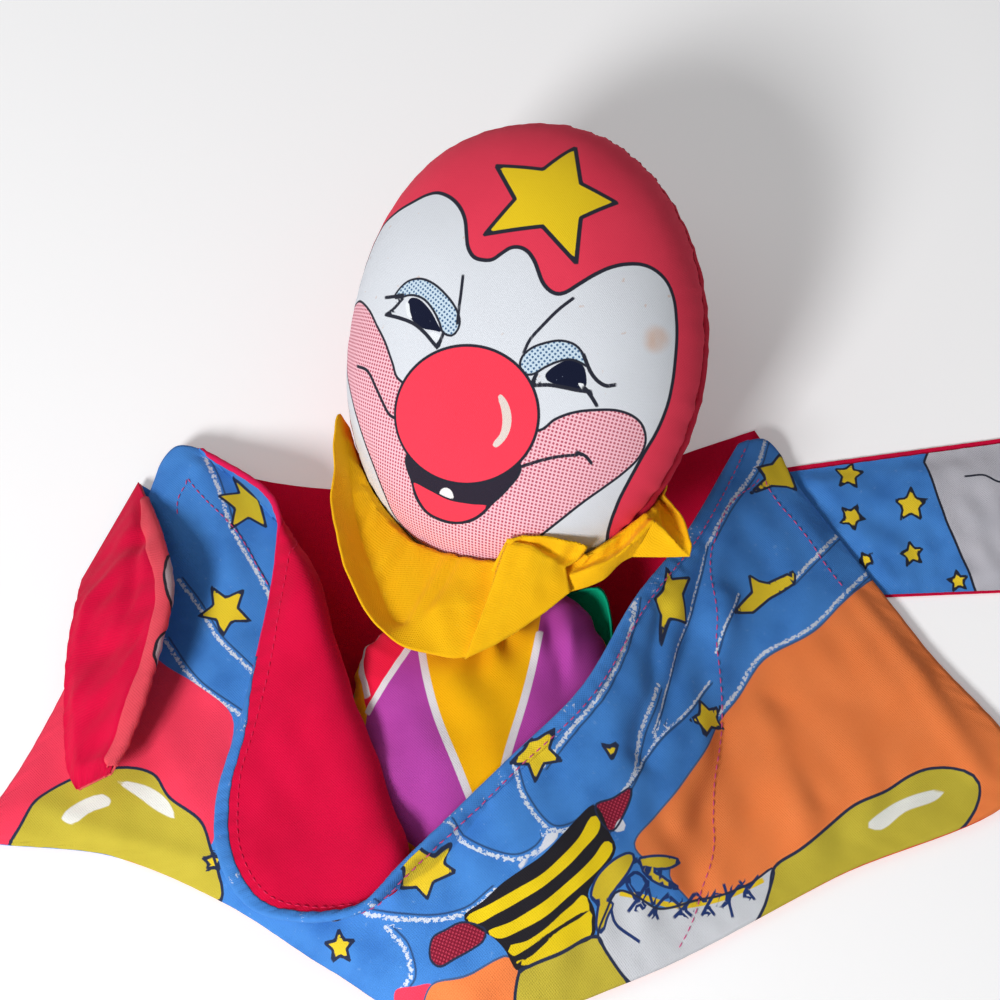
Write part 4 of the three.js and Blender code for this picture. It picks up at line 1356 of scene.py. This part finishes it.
def make_torso():
    """The torso's two panels; the front is pleated round the neck and dented under the ruff."""
    pillow = torso_pillow()
    around, rings = ((260, 60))
    grid, flat = pillow_panel(pillow, 1, around, rings, seed=71, pucker=1.1, wavelength=11, reach=9,
                              lumps=0.7)
    gathers = grid - NECK + (0, 5, -6)
    heading = np.arctan2(gathers[..., 0], -gathers[..., 1])
    away = np.linalg.norm(gathers[..., :2], axis=-1)
    pleat = np.sin(heading * 11 + 0.8 * np.sin(heading * 3)) * np.exp(-((away - 12) / 17) ** 2)
    grid[..., 2] += 1.9 * pleat * smooth(grid[..., 2], 20, 30)
    folds = slow_noise(grid[..., :2], 73, 26)
    grid[..., 2] += 0.8 * folds * smooth(grid[..., 2], 20, 30)
    grid = raised_shoulder(grid, 0, 7, 9)
    for place, height in (((33, 20), -2.6), ((28, 17), 1.5), ((40, 16), 1.4), ((36, 8), -1.5)):
        across, along = (grid[..., k] - place[k] for k in (0, 1))
        grid[..., 2] += height * np.exp(-(across / 2.6) ** 2 - (along / 8) ** 2)
    normal = grid_normals(grid, ring=True)
    normal *= np.where(normal[..., 2:] > 0, 1, -1)
    front = make_piece("torso_print_panel", grid, grid_faces(around, rings + 1, ring=True, flip=True),
                       torso_finish(), flat)
    placed = Placed(grid, flat, faces_camera(grid, normal))
    for name, shapes in (("red_field", (TORSO_RED,)), ("purple_field", (TORSO_PURPLE, TORSO_RIGHT))):
        store(front, name, nearest_of(flat, [rounded(placed.all(shape), 5) for shape in shapes]))
    for k, line in enumerate(TORSO_WHITE):
        store_strokes(front, f"white_{k}", flat, [placed.all(line)])
    weld(front)
    lay_sheet(front, "costume",
              ["torso_front"])

    grid, flat = pillow_panel(pillow, -1, 160, 30, seed=72, pucker=0.9, wavelength=11, lumps=0.2)
    grid[..., 2] = np.maximum(grid[..., 2], INSIDE_Z)
    grid = raised_shoulder(grid, 11, 12, 11)
    back = make_piece("torso_back_panel", grid, grid_faces(*grid.shape[:2], ring=True),
                      plain_cotton("green_torso_cotton", (0, 172, 128), (0, 146, 108)), flat)
    weld(back)
    lay_sheet(back, "costume",
              ["torso_back"])


def filling_finish(name):
    dye = Dye(name, roughness=1.0, sheen=0.0)
    fibre = dye.noise(60, 5, on_flat=False, rough=0.7)
    colour = dye.mix((246, 244, 238), (222, 218, 208), fibre)
    return dye.finish(colour, weave=2.0, depth=0.4, mottle=0.05, extra_height=fibre)


def make_filling(name, pillow, node, body, seed, room=2.1):
    """One soft lump of stuffing that fills the pillow to just under its two panels."""
    around, rings = 96, 24
    front = pillow.skin(1, around, rings, inset=room)
    back = pillow.skin(-1, around, rings, inset=room)[:, ::-1]
    back = back[:, 1:]
    grid = np.concatenate([front, back], 1)
    lumps = 1 - 0.022 * (0.5 + 0.5 * slow_noise(grid, seed, 22))
    grid = pillow.placed(grid * lumps[..., None])
    grid[..., 2] = np.maximum(grid[..., 2], INSIDE_Z + CLOTH + GAP)
    flat = np.stack([grid[..., 0], grid[..., 1]], -1)
    columns = grid.shape[1]
    piece = make_piece(name, grid, grid_faces(around, columns, ring=True, flip=True),
                       filling_finish(name + "_fibre"), flat)
    weld(piece)
    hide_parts(node)
    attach(piece, body)


# Neck and ruff

def at_height(x, y, z):
    """The point at height z that shows at a pixel of the photograph."""
    ray = look * FOCAL * IMAGE + image_right * (x - IMAGE / 2) + image_up * (IMAGE / 2 - y)
    return eye + ray * (z - eye[2]) / ray[2]


# Rim, fold and crest of the frill, each as a pixel and a height, clockwise from its left tip.
# "crease" marks where one pleat turns over the next, and the number how deep a pleat is open.
RUFF_FRONT = [
    ((339, 414, 40), (347, 428, 36), (356, 442, 33), "", 0),
    ((333, 470, 46), (348, 480, 38), (360, 478, 35), "", 0),
    ((333, 510, 47), (355, 516, 38), (372, 502, 36), "", 0),
    ((342, 556, 47), (365, 556, 38), (392, 526, 36), "", 0),
    ((358, 598, 46), (379, 592, 38.5), (415, 543, 37), "", 0),
    ((381, 629, 45), (396, 624, 39.5), (436, 551, 38), "", 0),
    ((405, 647, 44), (416, 620, 42), (454, 556, 41), "", 0),
    ((432, 654, 43.5), (442, 608, 45), (466, 558, 43), "", 0),
    ((453, 658, 43), (472, 606, 46), (482, 561, 45), "", 0),
    ((468, 657, 42.5), (491, 603, 46), (498, 563, 46), "crease", 0),
    ((486, 647, 41.5), (507, 600, 45), (512, 564, 47), "crease", 0),
    ((465, 659, 44), (507, 546, 58.5), (508, 539, 60), "crease", 0),
    ((500, 642, 46), (530, 552, 59.5), (533, 536, 61), "", 3),
    ((538, 617, 48.5), (549, 561, 58), (560, 539, 61), "", 4),
    ((570, 592, 51), (565, 569, 55), (587, 546, 59), "crease", 3),
    ((560, 586, 47.5), (558, 573, 50), (582, 553, 53), "crease", 1),
    ((571, 591, 48.5), (570, 576, 52.5), (588, 556, 54), "crease", 2),
    ((600, 581, 50.5), (603, 565, 55.5), (606, 545, 55), "", 3),
    ((623, 561, 52), (625, 550, 57), (625, 531, 55), "", 3),
    ((632, 557, 52.5), (652, 523, 58.5), (645, 515, 55), "crease", 1),
    ((660, 557, 53), (663, 531, 58), (650, 512, 54), "", 3),
    ((690, 557, 54.5), (678, 546, 57.5), (654, 508, 52), "crease", 4),
    ((691, 544, 56.5), (678, 530, 52), (656, 505, 49), "crease", 1),
    ((684, 519, 55), (672, 513, 49), (655, 500, 44), "", 0),
    ((664, 495, 49), (660, 494, 44), (654, 490, 38), "", 0),
    ((667, 476, 41), (662, 477, 37), (657, 480, 33), "", 0)]
RUFF_BACK = [(66, 84, 22), (44, 88, 12), (18, 87, 8), (-8, 85, 7.5), (-26, 87, 12), (-40, 95, 26)]


def folded_loop(points, creases, steps):
    """A closed curve through points that turns sharply at the creases and gently elsewhere."""
    count = len(points)
    rows = []
    for first, last in zip(creases, creases[1:] + [creases[0] + count]):
        stretch = [points[k % count] for k in range(first, last + 1)]
        rows.append(through(stretch, np.arange((last - first) * steps) / ((last - first) * steps)))
    return np.vstack(rows)


def clear_of_pillow(points, pillow, margin):
    """Moves points that are inside a pillow, or nearer than the margin, straight out of it."""
    local = (points - pillow.centre) @ pillow.axes.T
    heading = local / np.maximum(np.linalg.norm(local, axis=-1, keepdims=True), 1e-9)
    for _ in range(240):
        width = pillow.half_width * (1 - pillow.taper * local[..., 1] / pillow.half_length) + margin
        depth = np.where(local[..., 2] > 0, pillow.front, pillow.back) + margin
        reach = np.hypot(local[..., 0] / width, local[..., 1] / (pillow.half_length + margin))
        inside = reach ** pillow.POWER + (local[..., 2] / depth) ** 2 < 1
        if not inside.any():
            break
        local = local + heading * (inside * 0.25)[..., None]
    return pillow.centre + local @ pillow.axes


def make_ruff():
    """One ring of cloth: from its root at the neck up to a crest, over a fold and down to its rim."""
    head = head_pillow()
    along = head.axes[1]
    lines = [[at_height(*place) for place in station[:3]] for station in RUFF_FRONT]
    for rim in (np.array(p, float) for p in RUFF_BACK):
        crest = mix(NECK, rim, 0.72)
        lines.append([rim, mix(rim, crest, 0.45) + (0, 0, 1.5), crest])
    dips = [station[4] for station in RUFF_FRONT] + [0] * len(RUFF_BACK)
    sections = []
    for (rim, fold, crest), dip in zip(lines, dips):
        outward = rim - NECK
        outward -= along * (outward @ along)
        root = NECK + outward / np.linalg.norm(outward) * 14.5 + along * 1.5
        sections.append([root, mix(root, crest, 0.55), mix(crest, root, 0.06), crest,
                         mix(crest, fold, 0.45) - (0, 0, dip), mix(fold, rim, -0.05), fold,
                         mix(fold, rim, 0.5), rim])
    creases = [k for k, station in enumerate(RUFF_FRONT) if station[3]]
    steps = 14
    rings = [folded_loop([section[k] for section in sections], creases, steps) for k in range(9)]
    places = spread([5, 5, 1, 5, 5, 1, 8, 8])
    grid = np.stack([through(list(line), places) for line in zip(*rings)])
    columns = grid.shape[1]
    part = np.linspace(0, 1, columns)[None, :]
    rim_run = run_length(grid[:, -1:], 0)[:, 0]
    turns = rim_run / (rim_run[-1] + 1) * 2 * math.pi
    pleats = np.sin(turns * 29 + 0.9 * np.sin(3 * turns)) + 0.6 * np.sin(turns * 47 + np.sin(5 * turns))
    normal = grid_normals(grid, ring=True)
    normal *= np.where((normal @ np.array([0, -0.4, 0.9]))[..., None] > 0, 1, -1)
    crumple = 0.45 * slow_noise(grid, 82, 22) + 0.2 * slow_noise(grid, 83, 9)
    grid = grid + normal * (pleats[:, None] * 0.4 * np.exp(-((part - 0.4) / 0.16) ** 2)
                            + crumple * smooth(part, 0.3, 0.6))[..., None]
    grid = clear_of_pillow(grid, head, 1.0)
    grid[..., 2] = np.maximum(grid[..., 2], INSIDE_Z + 1.0)
    flat = np.stack([np.repeat((turns * 52)[:, None], columns, 1), run_length(grid, 1)], -1)
    dye = Dye("ruff_cotton", roughness=0.85)
    colour = dye.mix((255, 198, 18), (254, 186, 8), dye.noise(8, 4))
    colour = dye.mix(colour, (255, 206, 60), dye.step(dye.noise(50, 2), 0.66, 0.76, 0.0, 0.3))
    finish = dye.finish(colour, weave=0.95, depth=0.16, mottle=0.05)
    ruff = make_piece("ruff_frill", grid, grid_faces(len(grid), columns, ring=True), finish, flat)
    lay_sheet(ruff, "neck", ["ruff"],
              offset=0.0)
    return finish


def make_neck_gather(finish):
    """Cloth bunched shut between the torso and the head, in narrow pleats."""
    around, rings = 180, 33
    along = head_pillow().axes[1]
    axis = np.array([along[0], along[1], along[2] / 2])
    axis /= np.linalg.norm(axis)
    side = np.cross(axis, [0, 0, 1])
    side /= np.linalg.norm(side)
    up = np.cross(side, axis)
    profile = through([(8, -5.8, 0), (12.2, -5.2, 0), (11.8, -2.5, 0), (11, 0, 0), (11.8, 2.5, 0),
                       (12.2, 5.2, 0), (8, 5.8, 0)], np.linspace(0, 1, rings))
    angle = np.arange(around) * 2 * math.pi / around
    pleat = 1 + 0.055 * np.sin(15 * angle) + 0.02 * np.sin(26 * angle + 1)
    radius = profile[None, :, 0] * (1 + (pleat[:, None] - 1) * smooth(profile[None, :, 0], 6, 11))
    outward = np.cos(angle)[:, None, None] * side + np.sin(angle)[:, None, None] * up
    grid = NECK + axis * profile[None, :, 1, None] + radius[..., None] * outward
    flat = np.stack(np.meshgrid(angle * 12, profile[:, 1], indexing="ij"), -1)
    gather = make_piece("neck_gathers", grid, grid_faces(around, rings, ring=True, flip=True), finish,
                        flat)
    lay_sheet(gather, "neck",
              ["neck_gather"], 0.5)


# Sleeves: two layers each, the printed one and the crimson one, sewn edge to edge

ARM_STARS = [((849, 475), 15, -5), ((852, 517), 14, -25), ((911, 505), 18, 0), ((912, 554), 13, 12),
             ((866, 560), 9, 30), ((958, 581), 11, 10)]
WRIST_LINE = [(922, 440), (924, 462), (946, 520), (973, 584), (978, 610)]
GLOVE_LINES = [
    [(968, 476), (984, 475), (1000, 482), (1020, 480)], [(1156, 503), (1124, 498), (1098, 495)],
    [(1164, 533), (1128, 530), (1100, 526)], [(1154, 562), (1122, 556), (1098, 551)]]


def sleeve_finish(name, seam_strip=True):
    """Starred blue up to the wrist, then the pale grey of the printed glove."""
    dye = Dye(name)
    ink = (34, 38, 52)
    colour = starred(dye, denim_blue(dye), ink, 0.45)
    glove = dye.mix((206, 204, 212), (188, 188, 198), dye.noise(8, 3))
    lines = dye.largest(dye.outlines(("glove", 0.5)), dye.stroke("glove_line", 0.45))
    colour = dye.mix(dye.fields(colour, ("glove", glove)), ink, lines)
    if seam_strip:
        strip = dye.step(dye.stored("edge_gap"), 2.3, 2.6, 1.0, 0.0)
        colour = dye.mix(colour, (236, 92, 96), strip)
    return dye.finish(colour, **COSTUME_WEAVE)


def turns_down(grid, column):
    """Whether a grid's faces, wound as they come, would look down at that column."""
    corner = grid[0, column]
    return bool(np.cross(grid[1, column] - corner, grid[0, column + 1] - corner)[2] < 0)


def seam_root(first, last, count):
    """Where a sleeve starts, along the hem between two of its stations."""
    hem = through([(*s[0], 0) for s in STATIONS], np.linspace(first, last, count) / SPANS)
    seam = (hem[-1] - hem[0]) / np.linalg.norm(hem[-1] - hem[0])
    return hem + 0.6 * np.array([seam[1], -seam[0], 0])


def make_right_sleeve(inside):
    """Flat on the table, a little puffed between its seams, widening to the rounded hand."""
    columns = 49
    root = seam_root(12.3, SPANS, columns)
    palm = 33.0
    hand = np.array([(root[0, 0] + root[-1, 0]) / 2 + 128 - palm, 118 - palm, 0])
    turn = np.linspace(0, math.pi / 2, 40)[1:]
    run = np.linspace(0, 1, 90)

    def edge(start, side):
        straight = [mix(start, hand + (0, side * palm, 0), k) for k in run]
        return np.array(straight + [hand + palm * np.array([math.sin(t), side * math.cos(t), 0])
                                    for t in turn])

    low, high = edge(root[0], -1), edge(root[-1], 1)
    share = (1 - np.cos(np.linspace(0, math.pi, columns))) / 2
    grid = low[:, None] + (high - low)[:, None] * share[None, :, None]
    easing = np.clip(1 - np.arange(len(grid)) / 30, 0, 1)[:, None, None]
    straight = root[0] + (root[-1] - root[0]) * share[:, None]
    seam_row = np.stack([np.interp(share, np.linspace(0, 1, columns), root[:, k]) for k in range(3)], 1)
    grid = grid + (seam_row - straight)[None] * easing
    plan = grid[..., :2].copy()
    edge_gap = np.minimum(*(np.linalg.norm(grid - line[:, None], axis=2) for line in (low, high)))
    edge_gap = np.minimum(edge_gap, np.maximum(palm - np.linalg.norm(grid - hand, axis=2), 0)
                          + 99 * (grid[..., 0] < hand[0]))
    from_root = np.linalg.norm(grid - grid[:1], axis=2)
    puff = smooth(edge_gap, 0.3, 9) * smooth(from_root, 0, 10)
    folds = 1.7 + 0.8 * slow_noise(plan, 101, 34) + 0.4 * slow_noise(plan, 102, 14)
    pucker = 0.18 * wrinkle(plan[..., 0], 103, 7) * np.exp(-edge_gap / 4)
    faces = grid_faces(len(grid), columns)
    top = grid.copy()
    top[..., 2] = 1.0 + CLOTH + puff * folds + pucker + 0.1
    front = make_piece("right_sleeve_print", top, faces, sleeve_finish("right_sleeve_cotton", False), plan)
    placed = Placed(top, plan)
    stars = [placed.all(drawn_star(*place, 1.0)) for place in ARM_STARS]
    store(front, "stars", nearest_of(plan, stars))
    wrist = placed.all(WRIST_LINE[:-1])
    top_end, low_end = mix(wrist[1], wrist[0], 12), mix(wrist[-2], wrist[-1], 12)
    glove = np.vstack([top_end, wrist, low_end, (400, 0), (400, 200)])
    store(front, "glove", inside_distance(plan, glove))
    store_strokes(front, "glove_line", plan, [placed.all(line) for line in GLOVE_LINES])
    lay_sheet(front, "right_arm", ["right_arm_front"],
              0.6)
    behind = grid + (share[None, :, None] * 3.4 - 0.8) * np.array([0.0, 1.0, 0.0])
    behind[..., 2] = CLOTH + 0.12 + pucker * 0.5
    back = make_piece("right_sleeve_lining", behind, faces, inside, plan)
    lay_sheet(back, "right_arm",
              ["right_arm_back"], thickness=0.6)


SLEEVE_ROWS, SLEEVE_COLUMNS = 121, 61
SLEEVE_CREASES = [
    ([(150, 500), (141, 560), (133, 606)], -1.5, 4.0),
    ([(96, 600), (122, 574), (154, 560)], 1.5, 5.0),
    ([(88, 636), (114, 650), (140, 636)], -1.1, 4.5),
    ([(84, 700), (108, 690), (128, 668)], 1.2, 5.0)]
CREASE = (np.array([-130.0, 96.0, 0]), np.array([-0.4, -0.9165, 0]), 46.0)
LEFT_ARM_STATIONS = [
    ((-131.5, 51, 17.5), 19.8, 6.5, 0.67), ((-128, 29, 24.7), 21.8, 9.7, 0.4),
    ((-128.5, 9, 26), 20.4, 10, 0.43), ((-130, -9.6, 25), 16.3, 9, 0.32),
    ((-131, -22.6, 23.5), 12.6, 6.5, 0.39), ((-132, -32.6, 23), 6.7, 3, 0.33)]


def make_left_sleeve(inside):
    """Creased over at its root and hanging back down the wing, with its crimson side up."""
    start, heading, length = CREASE
    steps = [-1, -0.75, -0.4, 0, 0.4, 0.75, 1]
    lines = [np.array([start + heading * length * (0.5 - part / 2) + (0, 0, FRONT_HEM_Z)
                       for part in steps])]
    for middle, half_width, rise, slope in LEFT_ARM_STATIONS:
        cross = np.array([1, slope, 0]) / math.hypot(1, slope) * half_width + (0, 0, rise)
        lines.append(np.array([np.array(middle) + cross * part for part in steps]))
    fine = [through(line, np.linspace(0, 1, SLEEVE_COLUMNS)) for line in lines]
    grid = np.stack([through(line, np.linspace(0, 1, SLEEVE_ROWS)) for line in zip(*fine)], 1)
    normal = grid_normals(grid)
    normal *= np.where(normal[..., 2:] > 0, 1, -1)
    across, down = run_length(grid, 1), run_length(grid, 0)
    middle = SLEEVE_COLUMNS // 2
    flat = np.stack([across - across[:, middle:middle + 1], down], -1)
    side_gap = np.minimum(across, across[:, -1:] - across)
    edge_gap = np.minimum(side_gap, down[-1:] - down)
    inner = smooth(edge_gap, 0, 8) * smooth(down, 0, 16)
    relief = 1.1 * slow_noise(grid, 111, 30) + 0.5 * slow_noise(grid, 112, 13)
    relief = creased(relief, grid, flat, SLEEVE_CREASES)
    relief = relief * inner + 0.3 * wrinkle(down, 113, 8) * np.exp(-side_gap / 5) * smooth(down, 2, 14)
    grid = grid + normal * relief[..., None]
    faces = grid_faces(SLEEVE_ROWS, SLEEVE_COLUMNS, flip=turns_down(grid, middle))
    puff = (0.2 + 1.6 * inner)[..., None]
    back = make_piece("left_sleeve_lining", grid + normal * (PRINT_SIDE + puff), faces, inside, flat)
    lay_sheet(back, "left_arm", ["left_arm_back"])
    front = make_piece("left_sleeve_print", grid - normal * PRINT_SIDE, faces[:, ::-1],
                       sleeve_finish("left_sleeve_cotton"), flat)
    store(front, "stars", nearest_of(flat, [star((x, y), 6.5, 20 * k) for k, (x, y) in enumerate(
        ((-8, 22), (9, 34), (-10, 50), (8, 62)))]))
    store(front, "glove", 84 - down)
    fingers = [[(-6, 100), (-2, 108), (-5, 118)], [(5, 98), (8, 108), (4, 120)]]
    store_strokes(front, "glove_line", flat, fingers)
    store(front, "edge_gap", edge_gap)
    lay_sheet(front, "left_arm", ["left_arm_front"])
    make_sleeve_edge(grid, normal, across, down)

    root = seam_root(0.03, 0.95, 31)
    crease = np.array([start + heading * length * share for share in np.linspace(0, 1, 31)])
    patch = root[:, None] + (crease - root)[:, None] * np.linspace(0, 1, 13)[None, :, None]
    faces = grid_faces(*patch.shape[:2], flip=turns_down(patch, 0))
    swell = np.sin(np.linspace(0, math.pi, 13))[None, :] * 0.25
    dye = Dye("left_sleeve_root_cotton")
    finish = dye.finish(denim_blue(dye), **COSTUME_WEAVE)
    for name, height, finish, slot, node in (
            ("left_sleeve_root_lining", CLOTH, inside, "crimson_lining", "left_arm_root_back"),
            ("left_sleeve_root_print", 1.0 + CLOTH + swell, finish, "costume_print",
             "left_arm_root_front")):
        layer = patch.copy()
        layer[..., 2] = height + 0.02
        piece = make_piece(name, layer, faces, finish, patch[..., :2])
        lay_sheet(piece, "costume", [node],
                  thickness=0.6)


def make_sleeve_edge(grid, normal, across, down):
    """The sewn edge of the folded sleeve: a salmon strip that shows the glove's wavy outline."""
    rows = np.arange(6, SLEEVE_ROWS - 4)    # a few rows short of each end
    section = [(6.5, 1.0), (5.6, 1.75), (4.0, 1.9), (2.0, 1.9), (0.4, 1.6), (-0.7, 0.9), (-1.0, 0.0),
               (-0.7, -0.9), (0.4, -1.3), (2.0, -1.35)]
    swell = smooth(np.minimum(rows - rows[0], rows[-1] - rows), 0, 8)
    places = np.zeros((len(rows), len(section), 3))
    for m, row in enumerate(rows):
        outward = grid[row, -1] - grid[row, -4]
        outward /= np.linalg.norm(outward)
        for k, (inward, offset) in enumerate(section):
            reach = across[row, -1] - max(inward, 0) * (0.3 + 0.7 * swell[m])
            column = np.interp(reach, across[row], np.arange(SLEEVE_COLUMNS))
            i = min(int(column), SLEEVE_COLUMNS - 2)
            point, up = (mix(field[row, i], field[row, i + 1], column - i) for field in (grid, normal))
            places[m, k] = point + up * (offset + 0.35) + outward * max(-inward, 0)
    dye = Dye("sleeve_edge_cotton")
    colour = dye.mix((240, 84, 98), (226, 70, 86), dye.noise(7, 3))
    along, round_it = dye.halves(dye.flat_places())
    line = dye.math("SUBTRACT", round_it, 0.118)
    for place, half, depth in ((0.66, 0.17, 0.062), (0.95, 0.09, 0.050)):
        share = dye.math("DIVIDE", dye.math("SUBTRACT", along, place), half)
        lobe = dye.math("MAXIMUM", dye.math("SUBTRACT", 1.0, dye.math("MULTIPLY", share, share)), 0.0)
        line = dye.math("ADD", line, dye.math("MULTIPLY", lobe, depth))
    colour = dye.mix(colour, (184, 160, 166), dye.step(line, 0.0, 0.003))
    colour = dye.mix(colour, (40, 36, 46), dye.step(dye.math("ABSOLUTE", line), 0.004, 0.007, 1.0, 0.0))
    strip = make_piece("left_sleeve_edge", places, grid_faces(len(rows), len(section), flip=True),
                       dye.finish(colour, weave=1.0, depth=0.16, mottle=0.12),
                       unfolded(down[rows, -1], section))
    lay_sheet(strip, "left_arm",
              thickness=0.35)


make_camera()
make_stage()
make_head()
make_torso()
make_filling("head_filling", head_pillow(), "head_stuffing", "head", 91)
make_filling("torso_filling", torso_pillow(), "torso_stuffing", "costume", 92, room=3.6)
make_neck_gather(make_ruff())
front, front_normal, crimson_inside, stars, frays = make_costume_front()
pink_thread = make_mouth_hem(front, front_normal, stars, frays)
make_costume_stitches(front, front_normal, pink_thread)
make_costume_back(crimson_inside)
make_right_sleeve(crimson_inside)
make_left_sleeve(crimson_inside)
